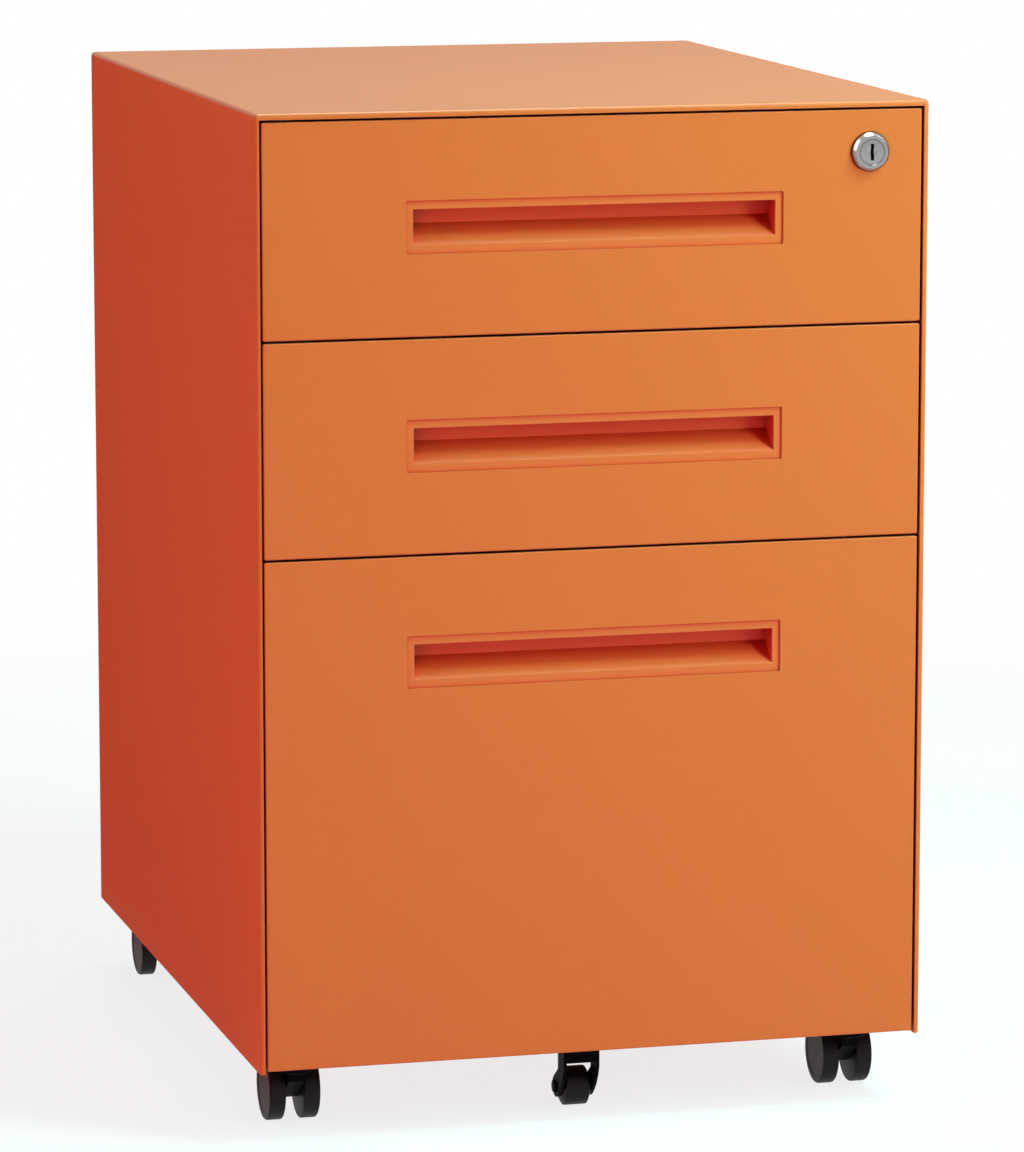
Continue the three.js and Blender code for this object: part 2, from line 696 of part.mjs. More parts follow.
// The bar is one flat stamping: a strip with two guide slots, a slotted tab for the cam's pin,
// and a tab for each drawer.
function lockBar() {
  const pinX = lockX + camReach * Math.cos(camAngle);
  const pinZ = lockZ + camReach * Math.sin(camAngle);
  const slotRadius = camPin + slotPlay;
  const driverHalf = slotRadius + slotMargin;
  const slotLeft = pinX - seat;
  const slotRight = lockX + camReach + seat;
  const top = pinZ + driverHalf;
  const bottom = barBottom();
  const outline = new THREE.Shape();
  outline.moveTo(barOuter, bottom);
  outline.lineTo(barOuter, top);
  outline.lineTo(slotLeft, top);
  outline.absarc(slotLeft, pinZ, driverHalf, Math.PI / 2, 1.5 * Math.PI);
  outline.lineTo(barInner, pinZ - driverHalf);
  for (const plan of drawers) {
    outline.lineTo(barInner, plan.tabZ + tabHeight / 2);
    outline.lineTo(barInner - tabLength, plan.tabZ + tabHeight / 2);
    outline.lineTo(barInner - tabLength, plan.tabZ - tabHeight / 2);
    outline.lineTo(barInner, plan.tabZ - tabHeight / 2);
  }
  outline.lineTo(barInner, bottom);
  const slot = new THREE.Path();
  slot.absarc(slotLeft, pinZ, slotRadius, 1.5 * Math.PI, Math.PI / 2, true);
  slot.absarc(slotRight, pinZ, slotRadius, Math.PI / 2, -Math.PI / 2, true);
  outline.holes.push(slot);
  const guideSlot = guideRadius + guidePlay;
  for (const z of guidePlaces()) {
    const hole = new THREE.Path();
    hole.absarc(barMiddle, z, guideSlot, Math.PI, 0, true);
    hole.absarc(barMiddle, z - lockLift, guideSlot, 0, -Math.PI, true);
    outline.holes.push(hole);
  }
  return alongY(outline, barFrontY, barBackY, 4);
}

function barBottom() {
  return drawers[2].tabZ - tabHeight / 2 - barTail;
}

function guidePlaces() {
  const top = lockZ - camReach;
  return [barBottom() + guideInset, top - guideInset];
}

function buildLock() {
  const lock = new THREE.Group();
  lock.position.set(lockX, 0, lockZ);
  pedestal.add(lock);
  piece(lock, 'lock_housing', lockHousing(), 'nickel');
  piece(lock, 'lock_plug', lockPlug(), 'nickel');
  piece(lock, 'lock_cam', lockCam(), 'zinc');
  piece(pedestal, 'lock_bar', lockBar(), 'zinc');
}

// ---------------------------------------------------------------- casters

function casterPlaces() {
  const places = [];
  for (const [end, y] of [['front', frontY + casterFront], ['rear', backY - casterRear]]) {
    for (const side of [-1, 1]) {
      places.push({ name: `caster_${end}_${sideName(side)}`, x: side * (halfWidth - casterInset), y });
    }
  }
  return places;
}

// Flange under the floor, stem through it, and the pin that the body swivels on.
function casterMount() {
  const collarBottom = casterHeadTop + swivelGap;
  const flangeTop = floorUnder - seat;
  const flangeBottom = flangeTop - casterFlangeThickness;
  return turned([
    [0, collarBottom - pinLength], [pinRadius, collarBottom - pinLength], [pinRadius, collarBottom],
    [collarRadius, collarBottom], [collarRadius, flangeBottom], [casterFlange, flangeBottom],
    [casterFlange, flangeTop], [stemRadius, flangeTop], [stemRadius, floorTop + stemAboveFloor],
    [0, floorTop + stemAboveFloor],
  ], 20, 'z');
}

// The body is a spine between the wheels, under a round head that is cut away over the wheels.
function casterBody() {
  const spine = new THREE.Shape();
  spine.moveTo(casterTrail + axleHub - spineRear, casterHeadTop);
  spine.lineTo(-spineNose, casterHeadTop);
  spine.lineTo(-spineNose, casterHeadTop - spineNoseDrop);
  spine.absarc(casterTrail, wheelAxleZ, axleHub, 1.25 * Math.PI, 2 * Math.PI);
  spine.lineTo(casterTrail + axleHub, casterHeadTop - spineRearDrop);
  const half = spineThickness / 2;
  const reach = Math.max(half + wheelWidth, headRadius) + 2;
  const headBottom = casterHeadTop - headHeight;
  const clear = wheelRadius / Math.cos(Math.PI / wheelSides) + headWheelGap;
  let head = toSolid(turned([
    [0, headBottom], [headRadius - headLowerChamfer, headBottom],
    [headRadius, headBottom + headLowerChamfer], [headRadius, casterHeadTop - headChamfer],
    [headRadius - headChamfer, casterHeadTop], [0, casterHeadTop],
  ], 24, 'z'));
  for (const [x0, x1] of [[-reach, -half], [half, reach]]) {
    head = head.subtract(toSolid(rod('x', clear, x0, x1, 32).translate(0, casterTrail, wheelAxleZ)));
  }
  const pinBore = rod('z', pinRadius + axleRunning, casterHeadTop + swivelGap - pinLength - seat,
    casterHeadTop + 1, 20);
  const axleBore = rod('x', axleRadius + axleRunning, -reach, reach, 16);
  return toGeometry(toSolid(alongX(spine, -half, half, 4, spineEdge))
    .add(head)
    .subtract(toSolid(pinBore))
    .subtract(toSolid(axleBore.translate(0, casterTrail, wheelAxleZ))));
}

// A wheel half, with its closed outer face at +X and the blind bore for the axle. The flats of
// its facets lie on the stated radius, so a flat rests on the floor.
function casterWheel(side) {
  const radius = wheelRadius / Math.cos(Math.PI / wheelSides);
  const inner = spineThickness / 2 + wheelGap;
  const outer = inner + wheelWidth;
  const bore = axleRadius + axleRunning;
  const axleEnd = outer - axleEndWall;
  const wheelShoulder = wheelEdge * (1 - Math.SQRT1_2);
  const geometry = turned([
    [0, axleEnd], [bore, axleEnd], [bore, inner], [radius - wheelInnerEdge, inner],
    [radius, inner + wheelInnerEdge],
    [radius, outer - wheelEdge], [radius - wheelShoulder, outer - wheelShoulder],
    [radius - wheelEdge, outer], [0, outer - wheelDish],
  ], wheelSides, 'x', Math.PI / wheelSides);
  if (side < 0) geometry.rotateZ(Math.PI);
  return geometry.translate(0, casterTrail, wheelAxleZ);
}

function buildCasters() {
  const axleHalf = spineThickness / 2 + wheelGap + wheelWidth - axleEndWall - axleRunning;
  for (const { name, x, y } of casterPlaces()) {
    const caster = new THREE.Group();
    caster.position.set(x, y, 0);
    pedestal.add(caster);
    piece(caster, `${name}_mount`, casterMount(), 'zinc');
    piece(caster, `${name}_body`, casterBody(), 'blackPlastic');
    const axle = rod('x', axleRadius, -axleHalf, axleHalf, 16).translate(0, casterTrail, wheelAxleZ);
    piece(caster, `${name}_axle`, axle, 'zinc');
    piece(caster, `${name}_wheel_left`, casterWheel(-1), 'wheel');
    piece(caster, `${name}_wheel_right`, casterWheel(1), 'wheel');
  }
}

// ---------------------------------------------------------------- anti-tip wheel

// A fork folded from one plate: the plate screws up under the drawer front, the skirt closes
// the fork's front and the ears run down to the rivet.
function tipFork() {
  const top = caseLift + lowerReveal - seat;
  const front = frontY + tipForkFront;
  const rear = front + tipForkDepth;
  const axleY = frontY + tipAxleSetback;
  const half = tipForkWidth / 2;
  const ear = new THREE.Shape();
  ear.moveTo(rear, top);
  ear.lineTo(front, top);
  ear.lineTo(front, top - tipEarFrontDrop);
  ear.quadraticCurveTo(front + tipEarBow, top - tipEarBowDrop,
    axleY + tipEarRadius * Math.cos(tipEarHeel), tipAxleZ + tipEarRadius * Math.sin(tipEarHeel));
  const reach = rear - axleY;
  const rise = top - tipEarDrop - tipAxleZ;
  const tangent = Math.atan2(rise, reach) - Math.acos(tipEarRadius / Math.hypot(reach, rise));
  ear.absarc(axleY, tipAxleZ, tipEarRadius, tipEarHeel, tangent + 2 * Math.PI);
  ear.lineTo(rear, top - tipEarDrop);
  const inner = half - tipForkSheet;
  const rivetHole = rod('x', axleRadius + axleRunning, -half - 1, half + 1, 16);
  return toGeometry(toSolid(alongX(ear, -half, half, 4))
    .subtract(block(-inner, inner, front - 1, axleY + tipEarRadius + 1, 0, top - tipForkSheet))
    .add(block(-half, half, front, front + tipForkSheet, top - tipForkSkirt, top))
    .add(block(-half, half, frontY + tipPlateFront, front + 1, top - tipForkSheet, top))
    .subtract(toSolid(rivetHole.translate(0, axleY, tipAxleZ))));
}

function tipRivet() {
  const half = tipForkWidth / 2 + seat;
  const end = half + tipRivetHeadThickness;
  return turned([
    [0, -end], [tipRivetHead - tipRivetChamfer, -end], [tipRivetHead, -half], [axleRadius, -half],
    [axleRadius, half], [tipRivetHead, half], [tipRivetHead - tipRivetChamfer, end], [0, end],
  ], 16, 'x');
}

function tipWheel() {
  const half = tipWheelWidth / 2;
  const radius = tipWheelRadius / Math.cos(Math.PI / tipWheelSides);
  const bore = axleRadius + axleRunning;
  const hub = half + tipWheelHubStand;
  const hubRadius = bore + tipWheelHub;
  return turned([
    [bore, -hub], [hubRadius, -hub], [hubRadius, -half], [radius - tipWheelEdgeHeight, -half],
    [radius, -half + tipWheelEdge], [radius, half - tipWheelEdge], [radius - tipWheelEdgeHeight, half],
    [hubRadius, half], [hubRadius, hub], [bore, hub], [bore, -hub],
  ], tipWheelSides, 'x', Math.PI / tipWheelSides);
}

function buildTipWheel() {
  piece(pedestal, 'tip_fork', tipFork(), 'blackSteel');
  const axle = new THREE.Group();
  axle.position.set(0, frontY + tipAxleSetback, tipAxleZ);
  pedestal.add(axle);
  piece(axle, 'tip_rivet', tipRivet(), 'zinc');
  piece(axle, 'tip_wheel', tipWheel(), 'wheel');
}

buildCase();
buildFixedSlides();
buildDrawers();
buildLock();
buildCasters();
buildTipWheel();

export default pedestal;
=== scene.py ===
"""Looks of a three-drawer mobile pedestal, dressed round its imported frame.

Metres, +Z up, the drawers face -Y, and the origin is on the floor under the middle of the case.
"""
import json
import math

import bmesh
import bpy
from mathutils import Matrix, Vector


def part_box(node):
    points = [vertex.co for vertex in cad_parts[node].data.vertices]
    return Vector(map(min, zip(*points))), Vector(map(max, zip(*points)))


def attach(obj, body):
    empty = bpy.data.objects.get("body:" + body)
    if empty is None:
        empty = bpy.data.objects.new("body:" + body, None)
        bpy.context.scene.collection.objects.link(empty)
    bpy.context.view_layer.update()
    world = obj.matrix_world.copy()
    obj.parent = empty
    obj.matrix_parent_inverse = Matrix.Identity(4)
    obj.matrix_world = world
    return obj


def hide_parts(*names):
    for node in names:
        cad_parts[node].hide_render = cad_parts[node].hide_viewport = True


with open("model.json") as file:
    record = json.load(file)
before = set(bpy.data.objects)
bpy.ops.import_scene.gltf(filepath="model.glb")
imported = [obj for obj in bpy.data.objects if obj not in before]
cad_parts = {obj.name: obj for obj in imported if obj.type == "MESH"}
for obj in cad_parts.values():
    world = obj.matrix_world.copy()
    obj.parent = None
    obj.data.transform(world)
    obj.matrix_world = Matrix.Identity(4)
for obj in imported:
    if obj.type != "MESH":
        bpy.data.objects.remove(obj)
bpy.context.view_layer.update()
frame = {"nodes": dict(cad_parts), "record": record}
nodes = frame["nodes"]

MM = 0.001
DRAWERS = ("upper", "middle", "file")
SIDES_OUT = (("left", -1), ("right", 1))       # with the way out along X
CASTERS = [f"caster_{end}_{side}" for end in ("front", "rear") for side, _ in SIDES_OUT]


# ------------------------------------------------------------------ camera and light

CAMERA_PLACE = (-0.890, -3.4175, 0.872)
CAMERA_TURN = 14.83            # degrees to the right of straight ahead
CAMERA_TILT = 9.41             # degrees below level
CAMERA_LENS = 180.8            # millimetres on a 36 mm sensor

FLOOR_HALF = 9.0
FLOOR_NEAR = 0.55              # the floor shows light and shadow within this radius
FLOOR_FAR = 1.8                # and is backdrop white beyond this one
FLOOR_COLOUR = (0.84, 0.42, 0.46, 1)   # of the light that it throws back up
FLOOR_SHADE = (0.19, 0.25, 0.26, 1)    # how strongly the plain floor shows light and shadow
FLOOR_LIFT = 0.80              # glow that brings the plain floor near the backdrop's white

FLAG_X = -0.215
FLAG_FRONT = -0.30
FLAG_BACK = 6.0
FLAG_BOTTOM = 0.002
FLAG_TOP = 0.60
# a card that glows this red, seen only in reflections: a painted red reflection on the case's left side
FLAG_REFLECTION_GLOW = (0.73, 0.060, 0.072, 1)

AMBIENT = (0.030, 0.012, 0.014)    # faint light from all round
MIRRORED_WHITE = 0.75          # how bright the surroundings look in a reflection
LAMPS = {
    # name: place, point aimed at, width, height, watts, colour
    "key": ((0.9, -0.9, 1.9), (0.15, -0.245, 0.60), 0.5, 0.5, 21.4, (0.49, 1.0, 0.925)),
    "key_tall": ((0.85, -1.15, 0.95), (0.15, -0.245, 0.50), 0.35, 1.1, 14.5, (0.65, 1.0, 0.945)),
    "front_low": ((-1.0, -1.7, 0.25), (-0.10, -0.245, 0.15), 0.8, 0.5, 8.1, (1.0, 0.05, 0.35)),
    "left_panel": ((-1.6, -0.6, 1.5), (0.16, -0.245, 0.57), 0.45, 1.8, 8.4, (1.0, 1.0, 1.0)),
    "right_panel": ((1.25, -0.30, 1.40), (0.16, -0.245, 0.57), 0.6, 0.9, 4.0, (1.0, 1.0, 1.0)),
    "left_side": ((-3.0, 0.9, 0.9), (-0.20, 0.0, 0.30), 1.6, 1.6, 12.0, (1.0, 0.36, 0.50)),
    "top": ((0.2, 0.9, 2.8), (0.0, 0.0, 0.55), 2.0, 1.4, 21.8, (1.0, 0.89, 0.87)),
    "rear_fill": ((1.6, 2.9, 1.5), (0.0, 0.2, 0.30), 1.6, 1.6, 18.0, (1.0, 0.83, 0.77)),
    "rim_light": ((0.45, -0.2, 3.2), (0.0, -0.245, 0.60), 1.2, 0.9, 110.0, (1.0, 0.93, 0.90)),
}
MIRRORED = ("left_panel", "right_panel", "rim_light")    # these lamps show in reflections
ONLY_MIRRORED = ("rim_light",)     # and this one does nothing else


def aim(obj, target):
    away = Vector(target) - obj.location
    obj.rotation_euler = away.to_track_quat("-Z", "Y").to_euler()


def in_scene(name, data):
    """A new object in the scene that holds the given mesh, lamp or camera."""
    made = bpy.data.objects.new(name, data)
    bpy.context.scene.collection.objects.link(made)
    return made


def four_corners(name, corners, material):
    """A flat sheet between four corners."""
    mesh = bpy.data.meshes.new(name)
    mesh.from_pydata(corners, [], [(0, 1, 2, 3)])
    mesh.materials.append(material)
    return in_scene(name, mesh)


def empty_material(name):
    """A material with nothing but its output, and its node tree."""
    material = bpy.data.materials.new(name)
    material.use_nodes = True
    tree = material.node_tree
    tree.nodes.clear()
    return material, tree, tree.nodes.new("ShaderNodeOutputMaterial")


def make_camera():
    data = bpy.data.cameras.new("camera")
    data.lens = CAMERA_LENS
    data.sensor_width = 36.0
    data.clip_start = 0.05
    data.clip_end = 60.0
    camera = in_scene("camera", data)
    camera.location = CAMERA_PLACE
    camera.rotation_euler = (math.radians(90 - CAMERA_TILT), 0, math.radians(-CAMERA_TURN))
    bpy.context.scene.camera = camera


def make_lamps():
    for name, (place, target, width, height, watts, colour) in LAMPS.items():
        data = bpy.data.lights.new(name, "AREA")
        data.shape = "RECTANGLE"
        data.size = width
        data.size_y = height
        data.energy = watts
        data.color = colour
        lamp = in_scene(name, data)
        lamp.location = place
        aim(lamp, target)
        lamp.visible_glossy = name in MIRRORED
        lamp.visible_diffuse = name not in ONLY_MIRRORED


def make_flag():
    """A glowing deep red card beside the case, seen only in reflections: a painted red reflection that keeps
    the left side deep in tone.
    """
    material, tree, out = empty_material("painted_red_reflection")
    glow = tree.nodes.new("ShaderNodeEmission")
    glow.inputs["Color"].default_value = FLAG_REFLECTION_GLOW
    tree.links.new(glow.outputs[0], out.inputs[0])
    corners = [(FLAG_X, FLAG_FRONT, FLAG_BOTTOM), (FLAG_X, FLAG_BACK, FLAG_BOTTOM),
               (FLAG_X, FLAG_BACK, FLAG_TOP), (FLAG_X, FLAG_FRONT, FLAG_TOP)]
    flag = four_corners("flag", corners, material)
    flag.visible_camera = False
    flag.visible_diffuse = False
    flag.visible_shadow = False
    flag.visible_transmission = False


def seen_directly(tree):
    """1 where a ray comes from the camera, a mirror-like surface or glass, and 0 elsewhere."""
    path = tree.nodes.new("ShaderNodeLightPath")
    first = tree.nodes.new("ShaderNodeMath")
    first.operation = "MAXIMUM"
    both = tree.nodes.new("ShaderNodeMath")
    both.operation = "MAXIMUM"
    tree.links.new(path.outputs["Is Camera Ray"], first.inputs[0])
    tree.links.new(path.outputs["Is Glossy Ray"], first.inputs[1])
    tree.links.new(first.outputs[0], both.inputs[0])
    tree.links.new(path.outputs["Is Transmission Ray"], both.inputs[1])
    return both.outputs[0]


def make_world():
    """Plain white where it is seen, less bright in reflections, and a faint light elsewhere."""
    world = bpy.data.worlds.new("studio")
    bpy.context.scene.world = world
    world.use_nodes = True
    tree = world.node_tree
    tree.nodes.clear()
    out = tree.nodes.new("ShaderNodeOutputWorld")
    white = tree.nodes.new("ShaderNodeBackground")
    white.inputs["Color"].default_value = (1, 1, 1, 1)
    path = tree.nodes.new("ShaderNodeLightPath")
    level = tree.nodes.new("ShaderNodeMapRange")
    level.inputs["To Min"].default_value = MIRRORED_WHITE
    tree.links.new(path.outputs["Is Camera Ray"], level.inputs["Value"])
    tree.links.new(level.outputs["Result"], white.inputs["Strength"])
    ambient = tree.nodes.new("ShaderNodeBackground")
    ambient.inputs["Color"].default_value = (*AMBIENT, 1)
    mix = tree.nodes.new("ShaderNodeMixShader")
    tree.links.new(seen_directly(tree), mix.inputs[0])
    tree.links.new(ambient.outputs[0], mix.inputs[1])
    tree.links.new(white.outputs[0], mix.inputs[2])
    tree.links.new(mix.outputs[0], out.inputs[0])


def make_floor():
    """A pale floor that shows the cabinet's shadow and turns to backdrop white further out."""
    material, tree, out = empty_material("floor_white")
    place = tree.nodes.new("ShaderNodeTexCoord")
    length = tree.nodes.new("ShaderNodeVectorMath")
    length.operation = "LENGTH"
    spread = tree.nodes.new("ShaderNodeMapRange")
    spread.interpolation_type = "SMOOTHSTEP"
    spread.inputs["From Min"].default_value = FLOOR_NEAR
    spread.inputs["From Max"].default_value = FLOOR_FAR
    bounced = tree.nodes.new("ShaderNodeBsdfDiffuse")
    bounced.inputs["Color"].default_value = FLOOR_COLOUR
    shade = tree.nodes.new("ShaderNodeBsdfDiffuse")
    shade.inputs["Color"].default_value = FLOOR_SHADE
    lift = tree.nodes.new("ShaderNodeEmission")
    lift.inputs["Strength"].default_value = FLOOR_LIFT
    near = tree.nodes.new("ShaderNodeAddShader")
    white = tree.nodes.new("ShaderNodeEmission")
    shown = tree.nodes.new("ShaderNodeMixShader")
    final = tree.nodes.new("ShaderNodeMixShader")
    links = tree.links
    links.new(place.outputs["Object"], length.inputs[0])
    links.new(length.outputs["Value"], spread.inputs["Value"])
    links.new(shade.outputs[0], near.inputs[0])
    links.new(lift.outputs[0], near.inputs[1])
    links.new(spread.outputs["Result"], shown.inputs[0])
    links.new(near.outputs[0], shown.inputs[1])
    links.new(white.outputs[0], shown.inputs[2])
    links.new(seen_directly(tree), final.inputs[0])
    links.new(bounced.outputs[0], final.inputs[1])
    links.new(shown.outputs[0], final.inputs[2])
    links.new(final.outputs[0], out.inputs[0])
    corners = [(-FLOOR_HALF, -FLOOR_HALF, 0), (FLOOR_HALF, -FLOOR_HALF, 0),
               (FLOOR_HALF, FLOOR_HALF, 0), (-FLOOR_HALF, FLOOR_HALF, 0)]
    four_corners("floor", corners, material)


# ------------------------------------------------------------------ shared surface effects

def new_group(name, inputs, outputs):
    """A shader node group with the given sockets: name and default for inputs, name and type for outputs."""
    group = bpy.data.node_groups.new(name, "ShaderNodeTree")
    for label, default in inputs.items():
        kind = "NodeSocketColor" if isinstance(default, tuple) else "NodeSocketFloat"
        socket = group.interface.new_socket(name=label, in_out="INPUT", socket_type=kind)
        socket.default_value = default
    for label, kind in outputs.items():
        group.interface.new_socket(name=label, in_out="OUTPUT", socket_type=kind)
    return group, group.nodes.new("NodeGroupInput"), group.nodes.new("NodeGroupOutput")


def noise(tree, vector, scale, detail=2.0):
    """A cloudy pattern. The scale is a number or a socket."""
    node = tree.nodes.new("ShaderNodeTexNoise")
    node.inputs["Detail"].default_value = detail
    tree.links.new(vector, node.inputs["Vector"])
    if isinstance(scale, (int, float)):
        node.inputs["Scale"].default_value = scale
    else:
        tree.links.new(scale, node.inputs["Scale"])
    return node.outputs["Fac"]


def math_node(tree, operation, first, second):
    """One sum on two numbers or sockets."""
    node = tree.nodes.new("ShaderNodeMath")
    node.operation = operation
    for socket, value in zip(node.inputs, (first, second)):
        if isinstance(value, (int, float)):
            socket.default_value = value
        else:
            tree.links.new(value, socket)
    return node.outputs[0]


def vector_node(tree, operation, first, second):
    """One sum on a vector socket and a vector, a socket or nothing."""
    node = tree.nodes.new("ShaderNodeVectorMath")
    node.operation = operation
    tree.links.new(first, node.inputs[0])
    if isinstance(second, (tuple, list)):
        node.inputs[1].default_value = second
    elif second is not None:
        tree.links.new(second, node.inputs[1])
    return node.outputs["Value" if operation == "LENGTH" else "Vector"]


SKIN_INPUTS = {"Color": (0.5, 0.5, 0.5, 1), "Tone Drift": 0.03, "Roughness": 0.4, "Gloss Drift": 0.05}
SKIN_OUTPUTS = {"Color": "NodeSocketColor", "Roughness": "NodeSocketFloat", "Height": "NodeSocketFloat"}
COATING_DRIFT = 6.0            # scale of the slow changes of tone and gloss
PLATING_DRIFT = 40.0
POLISH_DRIFT = 220.0
CREVICE = 0.004                # painted shade darkens surfaces closer together than this
CREVICE_SHADE = ((0.14, (0.10, 0.012, 0.012, 1)), (0.48, (1, 1, 1, 1)))    # painted dark red shade in crevices, by openness


def openness(tree, distance):
    """1 on open surfaces, falling to 0 where others stand close all round."""
    near = tree.nodes.new("ShaderNodeAmbientOcclusion")
    near.samples = 6
    near.inputs["Distance"].default_value = distance
    return near.outputs["AO"]


def ramp(tree, factor, stops):
    """Colours between (place, colour) stops."""
    node = tree.nodes.new("ShaderNodeValToRGB")
    elements = node.color_ramp.elements
    while len(elements) < len(stops):
        elements.new(0.5)
    for element, (place, colour) in zip(elements, stops):
        element.position = place
        element.color = colour
    tree.links.new(factor, node.inputs["Fac"])
    return node.outputs["Color"]


def multiplied(tree, first, second):
    node = tree.nodes.new("ShaderNodeMix")
    node.data_type = "RGBA"
    node.blend_type = "MULTIPLY"
    node.inputs["Factor"].default_value = 1.0
    tree.links.new(first, node.inputs["A"])
    tree.links.new(second, node.inputs["B"])
    return node.outputs["Result"]


def skin_drift_and_crevice_shade(group, inside, outside, place, drift_scale):
    """Lets a group's colour and roughness drift slowly over the surface, and paints dark red shade into its
    crevices.
    """
    drift = noise(group, place, drift_scale, detail=3.0)
    centred = math_node(group, "SUBTRACT", drift, 0.5)
    tone = math_node(group, "MULTIPLY", centred, inside.outputs["Tone Drift"])
    shade_node = group.nodes.new("ShaderNodeHueSaturation")
    group.links.new(inside.outputs["Color"], shade_node.inputs["Color"])
    group.links.new(math_node(group, "ADD", tone, 1.0), shade_node.inputs["Value"])
    # painted shade: crevices are darkened to dark red by how closed in they are
    crevice_painted_shade = ramp(group, openness(group, CREVICE), CREVICE_SHADE)
    group.links.new(multiplied(group, shade_node.outputs["Color"], crevice_painted_shade), outside.inputs["Color"])
    gloss = math_node(group, "MULTIPLY", centred, inside.outputs["Gloss Drift"])
    rough = math_node(group, "ADD", gloss, inside.outputs["Roughness"])
    group.links.new(rough, outside.inputs["Roughness"])


def coating_group():
    """Paint and moulded plastic: a soft peel or mould texture with a fine grain on it."""
    group, inside, outside = new_group(
        "coating", {**SKIN_INPUTS, "Peel Scale": 420.0, "Grain Scale": 2400.0, "Grain Share": 0.3},
        SKIN_OUTPUTS)
    place = group.nodes.new("ShaderNodeTexCoord").outputs["Object"]
    skin_drift_and_crevice_shade(group, inside, outside, place, COATING_DRIFT)
    peel = noise(group, place, inside.outputs["Peel Scale"], detail=1.0)
    grain = noise(group, place, inside.outputs["Grain Scale"], detail=2.0)
    fine = math_node(group, "MULTIPLY", grain, inside.outputs["Grain Share"])
    group.links.new(math_node(group, "ADD", peel, fine), outside.inputs["Height"])
    return group


def drawn_metal_group():
    """Rolled and drawn metal: fine lines along its length, which is Y, and a cloudy plating."""
    group, inside, outside = new_group(
        "drawn_metal", {**SKIN_INPUTS, "Line Scale": 2600.0, "Line Stretch": 0.02}, SKIN_OUTPUTS)
    place = group.nodes.new("ShaderNodeTexCoord").outputs["Object"]
    skin_drift_and_crevice_shade(group, inside, outside, place, PLATING_DRIFT)
    stretch = group.nodes.new("ShaderNodeCombineXYZ")
    stretch.inputs["X"].default_value = 1.0
    stretch.inputs["Z"].default_value = 1.0
    group.links.new(inside.outputs["Line Stretch"], stretch.inputs["Y"])
    along = vector_node(group, "MULTIPLY", place, stretch.outputs["Vector"])
    group.links.new(noise(group, along, inside.outputs["Line Scale"]), outside.inputs["Height"])
    return group


def lathe_marks_group(axis):
    """Machined metal: fine rings about an axis along Y through the given point."""
    group, inside, outside = new_group("lathe_marks", {**SKIN_INPUTS, "Ring Scale": 5200.0}, SKIN_OUTPUTS)
    place = group.nodes.new("ShaderNodeTexCoord").outputs["Object"]
    skin_drift_and_crevice_shade(group, inside, outside, place, POLISH_DRIFT)
    offset = vector_node(group, "SUBTRACT", place, axis)
    flat = vector_node(group, "MULTIPLY", offset, (1.0, 0.0, 1.0))
    rings = group.nodes.new("ShaderNodeCombineXYZ")
    group.links.new(vector_node(group, "LENGTH", flat, None), rings.inputs["X"])
    group.links.new(noise(group, rings.outputs["Vector"], inside.outputs["Ring Scale"]),
                    outside.inputs["Height"])
    return group


# ------------------------------------------------------------------ finishes

def lock_axis():
    low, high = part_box("lock_plug")
    return ((low.x + high.x) / 2, 0.0, (low.z + high.z) / 2)


COATING = coating_group()
DRAWN_METAL = drawn_metal_group()
LATHE_MARKS = lathe_marks_group(lock_axis())
ORANGE = (0.70, 0.200, 0.044)
MOULDING_ORANGE = (0.77, 0.204, 0.046)
POCKET_DEPTH = 0.03            # how far the pocket's sides reach in its painted shade
POCKET_SHADE = (               # painted shade in the hand pocket, dark red, by openness
    (0.03, (0.04, 0.006, 0.008, 1)), (0.12, (0.40, 0.09, 0.11, 1)), (0.25, (0.95, 0.35, 0.42, 1)),
    (0.50, (1.0, 0.43, 0.50, 1)), (0.70, (0.98, 0.60, 0.65, 1)), (0.95, (0.92, 0.98, 0.95, 1)),
)


def finish(name, group, colour, roughness, drift, depth, marks, shine):
    """A material whose skin comes from a shared group.

    drift is how far tone and gloss wander, depth is that of the texture in metres, marks are the
    group's own values and shine is what the shader gets directly.
    """
    material = bpy.data.materials.new(name)
    material.use_nodes = True
    tree = material.node_tree
    shader = tree.nodes["Principled BSDF"]
    skin = tree.nodes.new("ShaderNodeGroup")
    skin.node_tree = group
    tone, gloss = drift
    values = {"Color": (*colour, 1), "Roughness": roughness, "Tone Drift": tone, "Gloss Drift": gloss}
    for label, value in {**values, **marks}.items():
        skin.inputs[label].default_value = value
    tree.links.new(skin.outputs["Color"], shader.inputs["Base Color"])
    tree.links.new(skin.outputs["Roughness"], shader.inputs["Roughness"])
    raised = tree.nodes.new("ShaderNodeBump")
    raised.inputs["Distance"].default_value = depth
    tree.links.new(skin.outputs["Height"], raised.inputs["Height"])
    tree.links.new(raised.outputs["Normal"], shader.inputs["Normal"])
    for label, value in shine.items():
        shader.inputs[label].default_value = value
    return material


def powder_coat():
    return finish("powder_coat_orange", COATING, ORANGE, roughness=0.40, drift=(0.03, 0.05),
                  depth=0.000012, marks={"Peel Scale": 420.0, "Grain Scale": 2400.0},
                  shine={"Specular IOR Level": 0.30})


